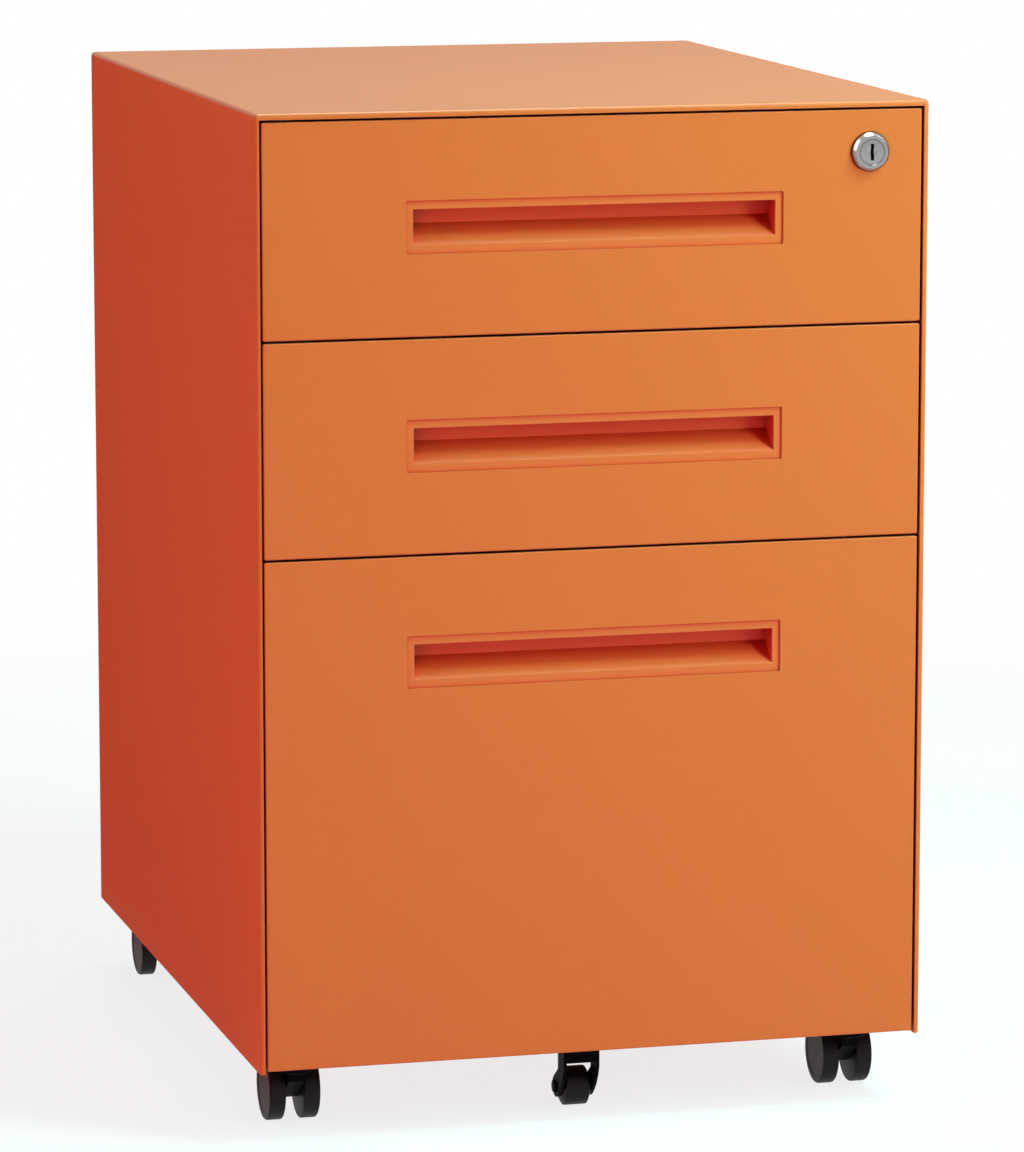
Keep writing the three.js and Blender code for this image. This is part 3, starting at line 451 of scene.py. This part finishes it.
def handle_moulding():
    """Moulded in the cabinet's colour. The hand pocket has painted shade: a deeper, darker red towards its
    corners, by how closed in it is.
    """
    material = finish("handle_moulding_orange", COATING, MOULDING_ORANGE, roughness=0.46,
                      drift=(0.03, 0.05), depth=0.000008,
                      marks={"Peel Scale": 900.0, "Grain Scale": 3000.0}, shine={})
    tree = material.node_tree
    base = tree.nodes["Principled BSDF"].inputs["Base Color"]
    skin_colour = base.links[0].from_socket
    # painted shade in the hand pocket
    pocket_painted_shade = ramp(tree, openness(tree, POCKET_DEPTH), POCKET_SHADE)
    tree.links.new(multiplied(tree, skin_colour, pocket_painted_shade), base)
    return material


def zinc_plate():
    return finish("zinc_plate", DRAWN_METAL, (0.56, 0.57, 0.58), roughness=0.34, drift=(0.10, 0.16),
                  depth=0.000006, marks={"Line Scale": 2600.0}, shine={"Metallic": 1.0})


def satin_nickel():
    return finish("satin_nickel", LATHE_MARKS, (0.385, 0.385, 0.39), roughness=0.24,
                  drift=(0.04, 0.06), depth=0.000004, marks={"Ring Scale": 5200.0},
                  shine={"Metallic": 1.0})


def black_nylon():
    return finish("black_nylon", COATING, (0.0030, 0.0025, 0.0027), roughness=0.54,
                  drift=(0.12, 0.06), depth=0.000014,
                  marks={"Peel Scale": 1100.0, "Grain Scale": 3600.0},
                  shine={"Specular IOR Level": 0.04})


def wheel_nylon():
    return finish("wheel_nylon", COATING, (0.0055, 0.0046, 0.0048), roughness=0.50,
                  drift=(0.14, 0.08), depth=0.000018,
                  marks={"Peel Scale": 1500.0, "Grain Scale": 4200.0},
                  shine={"Specular IOR Level": 0.20})


def black_paint():
    return finish("black_paint", COATING, (0.0035, 0.0030, 0.0032), roughness=0.52,
                  drift=(0.08, 0.06), depth=0.000010,
                  marks={"Peel Scale": 700.0, "Grain Scale": 2600.0},
                  shine={"Specular IOR Level": 0.03})


FINISHES = {
    "case_paint": powder_coat(),
    "handle_moulding": handle_moulding(),
    "zinc": zinc_plate(),
    "lock_nickel": satin_nickel(),
    "caster_plastic": black_nylon(),
    "wheel_tread": wheel_nylon(),
    "black_steel": black_paint(),
}
FINISHES["drawer_paint"] = FINISHES["case_paint"]


# ------------------------------------------------------------------ shaping tools, in millimetres

SHARP = math.radians(32)       # edges sharper than this stay edges
WELD_GAP = 0.002               # points closer together than this are one
GRID_STEPS = 50                # to a millimetre, for matching the points of two meshes
DOWN = (0, 0, -1)
UP = (0, 0, 1)
BACKWARD = (0, 1, 0)
RIGHT = (1, 0, 0)
QUARTER_ARC = [math.radians(15 * step) for step in range(6)]   # a quarter round, short of its end


def box_mm(node):
    low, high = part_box(node)
    return low / MM, high / MM


def rounded(corners, steps=4):
    """An outline from corners (first, second, radius): each corner with a radius turns into an arc."""
    points = []
    for index, (first, second, radius) in enumerate(corners):
        corner = Vector((first, second))
        if radius == 0:
            points.append(corner)
            continue
        to_last = (Vector(corners[index - 1][:2]) - corner).normalized()
        to_next = (Vector(corners[(index + 1) % len(corners)][:2]) - corner).normalized()
        half = to_last.angle(to_next) / 2
        centre = corner + (to_last + to_next).normalized() * (radius / math.sin(half))
        start = (corner + to_last * (radius / math.tan(half)) - centre).normalized()
        end = (corner + to_next * (radius / math.tan(half)) - centre).normalized()
        for step in range(steps + 1):
            points.append(centre + start.slerp(end, step / steps).normalized() * radius)
    return points


def as_mesh(shape):
    mesh = bpy.data.meshes.new("shape")
    shape.to_mesh(mesh)
    shape.free()
    return mesh


def turned(outline, sides=96, closed=True):
    """A lathe-turned shape about Z, from an outline of (distance from the axis, height). An outline
    that is not closed starts and ends on the axis."""
    shape = bmesh.new()
    rings = []
    for radius, height in outline:
        count = sides if radius > 0 else 1
        turn = 2 * math.pi / sides
        rings.append([shape.verts.new((radius * MM * math.cos(turn * index),
                                       radius * MM * math.sin(turn * index), height * MM))
                      for index in range(count)])
    following = rings[1:] + rings[:1] if closed else rings[1:]
    for ring, after in zip(rings, following):
        for index in range(sides):
            loop = [ring[index % len(ring)], ring[(index + 1) % len(ring)],
                    after[(index + 1) % len(after)], after[index % len(after)]]
            loop = list(dict.fromkeys(loop))
            if len(loop) > 2:
                shape.faces.new(loop)
    bmesh.ops.recalc_face_normals(shape, faces=shape.faces)
    return as_mesh(shape)


def block(low, high):
    shape = bmesh.new()
    bmesh.ops.create_cube(shape, size=1.0)
    for vertex in shape.verts:
        for axis in range(3):
            vertex.co[axis] = MM * (high[axis] if vertex.co[axis] > 0 else low[axis])
    return as_mesh(shape)


def ball(radius):
    shape = bmesh.new()
    bmesh.ops.create_icosphere(shape, subdivisions=2, radius=radius * MM)
    return as_mesh(shape)


def joined(meshes):
    shape = bmesh.new()
    for mesh in meshes:
        shape.from_mesh(mesh)
    return as_mesh(shape)


def moved(mesh, place=(0, 0, 0), facing=UP):
    """A copy of a mesh made about Z, turned so that its +Z faces the given way."""
    turn = Vector(UP).rotation_difference(Vector(facing)).to_matrix().to_4x4()
    copy = mesh.copy()
    copy.transform(Matrix.Translation(Vector(place) * MM) @ turn)
    return copy


def carved(mesh, tool, operation="DIFFERENCE"):
    """The mesh after a boolean with a tool mesh."""
    body = in_scene("body", mesh)
    cutter = in_scene("cutter", tool)
    cut = body.modifiers.new("cut", "BOOLEAN")
    cut.operation = operation
    cut.solver = "EXACT"
    cut.object = cutter
    bpy.context.view_layer.update()
    result = bpy.data.meshes.new_from_object(body.evaluated_get(bpy.context.evaluated_depsgraph_get()))
    for obj in (body, cutter):
        bpy.data.objects.remove(obj)
    return result


def piece(name, mesh, body, slot, stands_for=()):
    """A piece of the scene that rides on a body and takes the finish of its slot."""
    mesh.name = name
    mesh.polygons.foreach_set("use_smooth", [True] * len(mesh.polygons))
    mesh.set_sharp_from_angle(angle=SHARP)
    mesh.materials.clear()
    mesh.materials.append(FINISHES[slot])
    made = in_scene(name, mesh)
    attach(made, body)
    if stands_for:
        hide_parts(*stands_for)


def grid_place(point):
    """A point's place on a fine grid, to match points that lie together."""
    return tuple(round(value * GRID_STEPS) for value in point)


def edge_weights(obj, share_of):
    """Bevel weights for an object's sharp edges. share_of gives an edge's weight from its two ends, in
    millimetres. Edges are judged on a welded copy, where the faces on both sides of each one meet."""
    mesh = obj.data
    shape = bmesh.new()
    shape.from_mesh(mesh)
    bmesh.ops.remove_doubles(shape, verts=shape.verts, dist=WELD_GAP * MM)
    weight_of = {}
    for edge in shape.edges:
        if len(edge.link_faces) == 2 and edge.calc_face_angle(0.0) > SHARP:
            ends = [obj.matrix_world @ vertex.co / MM for vertex in edge.verts]
            weight_of[frozenset(grid_place(end) for end in ends)] = share_of(*ends)
    shape.free()
    weights = mesh.attributes.new("bevel_weight_edge", "FLOAT", "EDGE")
    for edge in mesh.edges:
        ends = [obj.matrix_world @ mesh.vertices[index].co / MM for index in edge.vertices]
        match = frozenset(grid_place(end) for end in ends)
        weights.data[edge.index].value = weight_of.get(match, 0.0)


def soft_edges(obj, width, wide=0.0, is_wide=None):
    """Breaks an object's sharp edges by a small round, as folded, cast and moulded pieces have. The
    edges that is_wide picks by their two ends get the wide round."""
    largest = max(width, wide)

    def share_of(first, second):
        chosen = wide if is_wide and is_wide(first, second) else width
        return chosen / largest
    edge_weights(obj, share_of)
    weld = obj.modifiers.new("weld", "WELD")
    weld.merge_threshold = WELD_GAP * MM
    bevel = obj.modifiers.new("bevel", "BEVEL")
    bevel.width = largest * MM
    bevel.segments = 3 if wide else 2
    bevel.limit_method = "WEIGHT"
    normals = obj.modifiers.new("normals", "WEIGHTED_NORMAL")
    normals.keep_sharp = True


# ------------------------------------------------------------------ carried-over pieces

SHEET = 1.0                    # thickness of the folded sheet
SHEET_EDGE = 0.13              # break on its edges
CAST_EDGE = 0.5                # and on moulded and pressed pieces
RIM_ROUND = 1.0                # round on the case's outer edges at its front and back
RIM_REACH = 2.1                # points this near the case's outside are on its rim
SAME = 0.1                     # places closer than this count as the same
CAST_NODES = ["tip_fork", "lock_cam", "lock_bar"]
CAST_NODES += [f"{caster}_{part}" for caster in CASTERS for part in ("mount", "body")]
CAST_NODES += [f"{drawer}_drawer_handle" for drawer in DRAWERS]


def along_depth(first, second):
    return abs(first.x - second.x) < SAME and abs(first.z - second.z) < SAME


def case_rim():
    """Tells whether an edge runs round the outside of the case's front or back."""
    low, high = box_mm("case_wrap")

    def outside(point):
        at_end = min(abs(point.y - low.y), abs(point.y - high.y)) < SAME
        return at_end and (abs(point.x) > high.x - RIM_REACH or point.z > high.z - RIM_REACH)

    def picked(first, second):
        return outside(first) and outside(second) and not along_depth(first, second)
    return picked


def finish_frame():
    """Every carried-over node takes the finish of its slot, and its edges are broken."""
    for row in frame["record"]["subparts"]:
        name = row["node"]
        node = nodes[name]
        mesh = node.data
        mesh.materials.clear()
        mesh.materials.append(FINISHES[row["material_slot"]])
        if "custom_normal" in mesh.attributes:
            mesh.attributes.remove(mesh.attributes["custom_normal"])
        mesh.polygons.foreach_set("use_smooth", [True] * len(mesh.polygons))
        if name == "case_wrap":
            soft_edges(node, SHEET_EDGE, RIM_ROUND, case_rim())
        else:
            soft_edges(node, CAST_EDGE if name in CAST_NODES else SHEET_EDGE)


# ------------------------------------------------------------------ lock

BEZEL_SLOPE = (1.8, 2.1)       # width and height of the bezel's slope
BEZEL_RIM = (0.25, 3.6)        # the steep rim outside it: width, and its foot behind the face
BEZEL_CREST = 0.9              # round between the bezel's face and its slope
BEZEL_FALL = 0.5               # and between the slope and the rim
BARREL_RADIUS = 9.5
BARREL_EDGE = 0.4
FINE_EDGE = 0.1
RING_EDGE = 0.45               # rounds where the plug meets the bezel
PLUG_PLAY = 0.05
PLUG_EDGE = 0.2
GASKET_THICKNESS = 0.3
GASKET_SHADOW_STAND = 0.25            # the black seal behind the bezel shows by this much round it, as a painted shadow line
LIP_RADIUS = 3.0               # raised lip round the guide for the key's tip
LIP_HEIGHT = 0.12
DIMPLE_RADIUS = 2.5
DIMPLE_DEPTH = 0.6
KEYWAY = (1.0, 4.8, 14.0)      # half width, half height, depth
WAFERS = (1.2, 0.6, 0.5)       # first wafer behind the face, wafer thickness, gap between wafers
TAIL_RADIUS = 4.0
TAIL_HEAD = (5.5, 1.2)         # radius and thickness of the head that keeps the cam on
TAIL_EDGE = 0.3
NUT_BEHIND_FRONT = (24.0, 3.5)     # across flats, thickness
NUT_SLOPE = math.radians(30)       # of the cone that turns the nut's corners down


def hex_nut(across, thickness, bore):
    """A hexagon with its corners turned down to a cone, as on a real nut."""
    corner = across / math.sqrt(3)
    flat = across / 2
    fall = (corner - flat) * math.tan(NUT_SLOPE)
    prism = turned([(0, 0), (corner, 0), (corner, thickness), (0, thickness)], 6, closed=False)
    cone = turned([(bore, 0), (flat, 0), (corner, fall), (corner, thickness - fall),
                   (flat, thickness), (bore, thickness)], 60)
    return carved(prism, cone, "INTERSECT")


def bezel(bore, outer, stand, length):
    """The ring in front of the drawer and its barrel, with the ring's face at height 0."""
    rim_width, rim_foot = BEZEL_RIM
    slope_width, slope_height = BEZEL_SLOPE
    rim = outer - rim_width
    return turned(rounded([
        (bore, 0, RING_EDGE), (rim - slope_width, 0, BEZEL_CREST), (rim, slope_height, BEZEL_FALL),
        (outer, rim_foot, FINE_EDGE), (outer, stand, FINE_EDGE), (BARREL_RADIUS, stand, 0),
        (BARREL_RADIUS, length, BARREL_EDGE), (bore, length, 0)]))


def seal_and_shadow_ring(outer):
    """The thin black gasket behind the bezel, which also draws the shadow line round it as painted shade."""
    edge = outer + GASKET_SHADOW_STAND
    return turned([(BARREL_RADIUS, 0), (edge, 0), (edge, GASKET_THICKNESS),
                   (BARREL_RADIUS, GASKET_THICKNESS)])


def plug(radius, tail, length):
    """The turning plug: a dimple and a lip guide the key's tip, and its tail carries the cam."""
    head_radius, head_thickness = TAIL_HEAD
    head = length - head_thickness
    dimple = [(DIMPLE_RADIUS * math.sin(angle), DIMPLE_DEPTH * math.cos(angle)) for angle in QUARTER_ARC]
    solid = turned(dimple + rounded([
        (DIMPLE_RADIUS, -LIP_HEIGHT, 0), (LIP_RADIUS, -LIP_HEIGHT, FINE_EDGE),
        (LIP_RADIUS + FINE_EDGE, 0, 0), (radius, 0, RING_EDGE), (radius, tail, PLUG_EDGE),
        (TAIL_RADIUS, tail, 0), (TAIL_RADIUS, head, 0), (head_radius, head, FINE_EDGE),
        (head_radius, length, TAIL_EDGE), (0, length, 0)]), closed=False)
    half_width, half_height, depth = KEYWAY
    return carved(solid, block((-half_width, -half_height, -1), (half_width, half_height, depth)))


def wafers_and_keyway_shade():
    """The stack of wafers that shows in the keyway, in black so that the keyway reads dark: partly painted
    shade.
    """
    half_width, half_height, depth = KEYWAY
    first, thick, gap = WAFERS
    pitch = thick + gap
    count = int((depth - first) / pitch)
    fronts = [first + pitch * index for index in range(count)]
    return joined([block((-half_width, -half_height, front), (half_width, half_height, front + thick))
                   for front in fronts])


def make_lock():
    low, high = box_mm("lock_housing")
    plug_low, plug_high = box_mm("lock_plug")
    face_y = box_mm("upper_drawer_front")[0].y
    x, z = (low.x + high.x) / 2, (low.z + high.z) / 2
    outer = (high.x - low.x) / 2
    stand = face_y - low.y - GASKET_THICKNESS
    radius = (plug_high.x - plug_low.x) / 2

    housing = bezel(radius + PLUG_PLAY, outer, stand, high.y - low.y)
    piece("lock_bezel", moved(housing, (x, low.y, z), BACKWARD), "upper_drawer", "lock_nickel",
          ("lock_housing",))
    # a black seal that also paints the shadow line round the bezel
    piece("lock_seal_shadow_ring", moved(seal_and_shadow_ring(outer), (x, low.y + stand, z), BACKWARD), "upper_drawer",
          "caster_plastic")
    key_plug = plug(radius, high.y - plug_low.y, plug_high.y - plug_low.y)
    piece("key_plug", moved(key_plug, (x, plug_low.y, z), BACKWARD), "lock", "lock_nickel", ("lock_plug",))
    # black wafers that also paint the shade deep in the keyway
    piece("lock_wafers_keyway_shade", moved(wafers_and_keyway_shade(), (x, plug_low.y, z), BACKWARD), "lock", "black_steel")
    nut = hex_nut(*NUT_BEHIND_FRONT, BARREL_RADIUS)
    piece("lock_nut", moved(nut, (x, face_y + SHEET, z), BACKWARD), "upper_drawer", "zinc")


# ------------------------------------------------------------------ wheels

WHEEL_BORE = 2.7
WHEEL_END_WALL = 1.9
WHEEL_OUTER_EDGE = 1.5
WHEEL_INNER_EDGE = 1.0
WHEEL_RIM = 2.6                # flat rim round the slightly dished outer face
WHEEL_DISH = 0.35
WHEEL_DISH_EDGE = 1.0          # round on both sides of the dish's slope, which is as wide
BORE_EDGE = 0.3
TIP_WHEEL_EDGE = (1.7, 3.3)    # width and height of its bevels
TIP_WHEEL_ROUND = 0.8          # where the bevels end
TIP_WHEEL_HUB = 5.2
TIP_WHEEL_HUB_STAND = 0.3
TIP_WHEEL_HUB_EDGE = 0.2
TIP_RIVET_HEAD = 1.2
TIP_RIVET_DOME = 0.9           # round on the outer edge of the rivet's heads
TIP_RIVET_EDGE = 0.15          # and on their inner edge
TIP_RIVET_PLAY = 0.2           # between the shank and the wheel's bore


def both_ends(side, length):
    """An outline with the same corners at both ends of a piece of this length."""
    other = [(radius, length - height, edge) for radius, height, edge in reversed(side)]
    return rounded(side + other)


def caster_wheel(node, outward):
    low, high = box_mm(node)
    centre = (low + high) / 2
    radius, width = (high.z - low.z) / 2, high.x - low.x
    rim = radius - WHEEL_OUTER_EDGE - WHEEL_RIM
    bore_end = width - WHEEL_END_WALL
    dish = width - WHEEL_DISH
    wheel = turned(rounded([
        (0, bore_end, 0), (WHEEL_BORE, bore_end, 0), (WHEEL_BORE, 0, BORE_EDGE),
        (radius, 0, WHEEL_INNER_EDGE), (radius, width, WHEEL_OUTER_EDGE), (rim, width, WHEEL_DISH_EDGE),
        (rim - WHEEL_DISH_EDGE, dish, WHEEL_DISH_EDGE), (0, dish, 0)], 6), closed=False)
    inner_face = low.x if outward > 0 else high.x
    piece(f"{node}_turned", moved(wheel, (inner_face, centre.y, centre.z), (outward, 0, 0)), node,
          "wheel_tread", (node,))


def make_rivet():
    """The rivet that the anti-tip wheel turns on, painted with the fork."""
    low, high = box_mm("tip_rivet")
    head = (high.z - low.z) / 2
    shank = WHEEL_BORE - TIP_RIVET_PLAY
    end = [(0, 0, 0), (head, 0, TIP_RIVET_DOME), (head, TIP_RIVET_HEAD, TIP_RIVET_EDGE),
           (shank, TIP_RIVET_HEAD, 0)]
    rivet_shape = turned(both_ends(end, high.x - low.x), 48, closed=False)
    place = (low.x, (low.y + high.y) / 2, (low.z + high.z) / 2)
    piece("tip_rivet_turned", moved(rivet_shape, place, RIGHT), "file_drawer", "black_steel",
          ("tip_rivet",))


def make_wheels():
    for caster in CASTERS:
        for side, outward in SIDES_OUT:
            caster_wheel(f"{caster}_wheel_{side}", outward)
    low, high = box_mm("tip_wheel")
    radius = (high.z - low.z) / 2
    reach = (high.x - low.x) / 2
    half = reach - TIP_WHEEL_HUB_STAND
    bevel_width, bevel_height = TIP_WHEEL_EDGE
    side = [(WHEEL_BORE, reach, TIP_WHEEL_HUB_EDGE), (TIP_WHEEL_HUB, reach, TIP_WHEEL_HUB_EDGE),
            (TIP_WHEEL_HUB, half, 0), (radius - bevel_height, half, TIP_WHEEL_ROUND),
            (radius, half - bevel_width, TIP_WHEEL_ROUND)]
    piece("tip_wheel_turned", moved(turned(both_ends(side, 0)), (low + high) / 2, RIGHT),
          "tip_wheel", "wheel_tread", ("tip_wheel",))


# ------------------------------------------------------------------ rivets, fasteners and ball cages

STEM_STAND = 3.4               # caster stems above the case floor
WASHER = (4.1, 8.0, 0.5)       # bore and outer radii, thickness
STEM_NUT = (13.0, 2.6)         # across flats, thickness
STEM_BORE = 4.05
SCREW_HEAD = (3.6, 1.7)        # radius, height
SCREW_CROSS = (0.55, 2.0, 1.1)     # half width, half length and depth of the cross recess
SCREW_DRAFT = 0.15             # how far the head's side leans in
SCREW_SHOULDER = 0.55          # height of the side, as a share of the head's
SCREW_FLAT = 0.62              # radius of the flat top, as a share of the head's
SCREW_EDGES = (0.15, 0.5, 1.0)     # rounds from the seat up
RIVET_HEAD = (3.1, 1.2)        # radius, height
TRAY_SCREW_X = 148
TRAY_SCREW_RISE = {"upper": (14, 54), "middle": (14, 54), "file": (34, 204)}    # above the tray
SLIDE_RIVET_Y = (-180, 0, 185)
FORK_SCREW_X = 6
FORK_SCREW_SETBACK = 7
FORK_SHEET = 2.0


def screw():
    """A pan head with a cross recess, on its seat at height 0."""
    radius, height = SCREW_HEAD
    foot, shoulder, top = SCREW_EDGES
    head = turned(rounded([
        (0, 0, 0), (radius, 0, foot), (radius - SCREW_DRAFT, height * SCREW_SHOULDER, shoulder),
        (radius * SCREW_FLAT, height, top), (0, height, 0)]), 40, closed=False)
    half, arm, depth = SCREW_CROSS
    for low, high in (((-half, -arm), (half, arm)), ((-arm, -half), (arm, half))):
        head = carved(head, block((*low, height - depth), (*high, height + 1)))
    return head


def rivet():
    radius, height = RIVET_HEAD
    dome = [(radius * math.cos(angle), height * math.sin(angle)) for angle in QUARTER_ARC]
    return turned([(0, 0)] + dome + [(0, height)], 32, closed=False)


def make_caster_nuts():
    """A washer and nut on the stem of each caster, above the case floor."""
    bore, edge, thickness = WASHER
    nut = joined([moved(hex_nut(*STEM_NUT, STEM_BORE), (0, 0, thickness)),
                  turned([(bore, 0), (edge, 0), (edge, thickness), (bore, thickness)])])
    places = []
    for caster in CASTERS:
        low, high = box_mm(f"{caster}_mount")
        places.append(((low.x + high.x) / 2, (low.y + high.y) / 2, high.z - STEM_STAND))
    piece("caster_nuts", joined([moved(nut, place) for place in places]), "case", "zinc")


def make_fork_screws(head):
    low, high = box_mm("tip_fork")
    under = high.z - FORK_SHEET
    screws = [moved(head, (x, low.y + FORK_SCREW_SETBACK, under), DOWN)
              for x in (-FORK_SCREW_X, FORK_SCREW_X)]
    piece("fork_screws", joined(screws), "file_drawer", "zinc")


def make_tray_fasteners(drawer, head, dome):
    """The screws that hold a tray to its front, and the rivets that hold its slides."""
    low = box_mm(f"{drawer}_drawer_tray")[0]
    screws = [moved(head, (x, low.y + SHEET, low.z + rise), BACKWARD)
              for x in (-TRAY_SCREW_X, TRAY_SCREW_X) for rise in TRAY_SCREW_RISE[drawer]]
    piece(f"{drawer}_tray_screws", joined(screws), f"{drawer}_drawer", "zinc")
    rivets = []
    for side, outward in SIDES_OUT:
        slide_low, slide_high = box_mm(f"{drawer}_slide_inner_{side}")
        middle = (slide_low.z + slide_high.z) / 2
        wall = outward * (-low.x - SHEET)
        rivets += [moved(dome, (wall, y, middle), (-outward, 0, 0)) for y in SLIDE_RIVET_Y]
    piece(f"{drawer}_slide_rivets", joined(rivets), f"{drawer}_drawer", "zinc")


def make_fasteners():
    make_caster_nuts()
    head = screw()
    make_fork_screws(head)
    dome = rivet()
    for drawer in DRAWERS:
        make_tray_fasteners(drawer, head, dome)


CAGE_LENGTH = 118
CAGE_SHEET = 0.6
CAGE_WIDTH = 3.4
CAGE_INSET = 1.5               # cage behind the front ends of the fixed members
BALL_PITCH = 9.5
BALL_RUNS = (                  # drawer, slide member, distance from the slide's middle to a row of
    # balls, their distance from the slide's outer face, and their radius
    ("upper", "outer", 15.5, 6.0, 1.2),
    ("middle", "outer", 15.5, 6.0, 1.2),
    ("file", "outer", 20.2, 6.5, 1.3),
    ("file", "middle", 15.9, 7.2, 1.6),
)
SLIDE_FACE = 186.0             # outer face of the slides, from the middle of the case


def ball_cage(offset, radius):
    """Two strips with a row of balls in each, above and below a slide's middle, along +Y."""
    parts = []
    for row in (-offset, offset):
        parts.append(block((-CAGE_WIDTH / 2, 0, row - CAGE_SHEET / 2),
                           (CAGE_WIDTH / 2, CAGE_LENGTH, row + CAGE_SHEET / 2)))
        for index in range(int(CAGE_LENGTH / BALL_PITCH)):
            parts.append(moved(ball(radius), (0, BALL_PITCH * (index + 0.5), row)))
    return joined(parts)


def make_ball_cages():
    """The cages of a fixed member ride on the case, and those of a middle member on that member."""
    for drawer, member, offset, depth, radius in BALL_RUNS:
        cage = ball_cage(offset, radius)
        for side, outward in SIDES_OUT:
            slide = f"{drawer}_slide_{member}"
            low, high = box_mm(f"{drawer}_slide_inner_{side}")
            start = box_mm(f"{slide}_{side}")[0].y + CAGE_INSET
            place = (outward * (SLIDE_FACE - depth), start, (low.z + high.z) / 2)
            rides_on = "case" if member == "outer" else f"{slide}_{side}"
            piece(f"{slide}_balls_{side}", moved(cage, place), rides_on, "zinc")


# ------------------------------------------------------------------ the scene

def make_scene():
    bpy.context.scene.view_settings.view_transform = "Standard"
    make_camera()
    make_world()
    make_lamps()
    make_floor()
    make_flag()
    finish_frame()
    make_lock()
    make_wheels()
    make_rivet()
    make_fasteners()
    make_ball_cages()


make_scene()
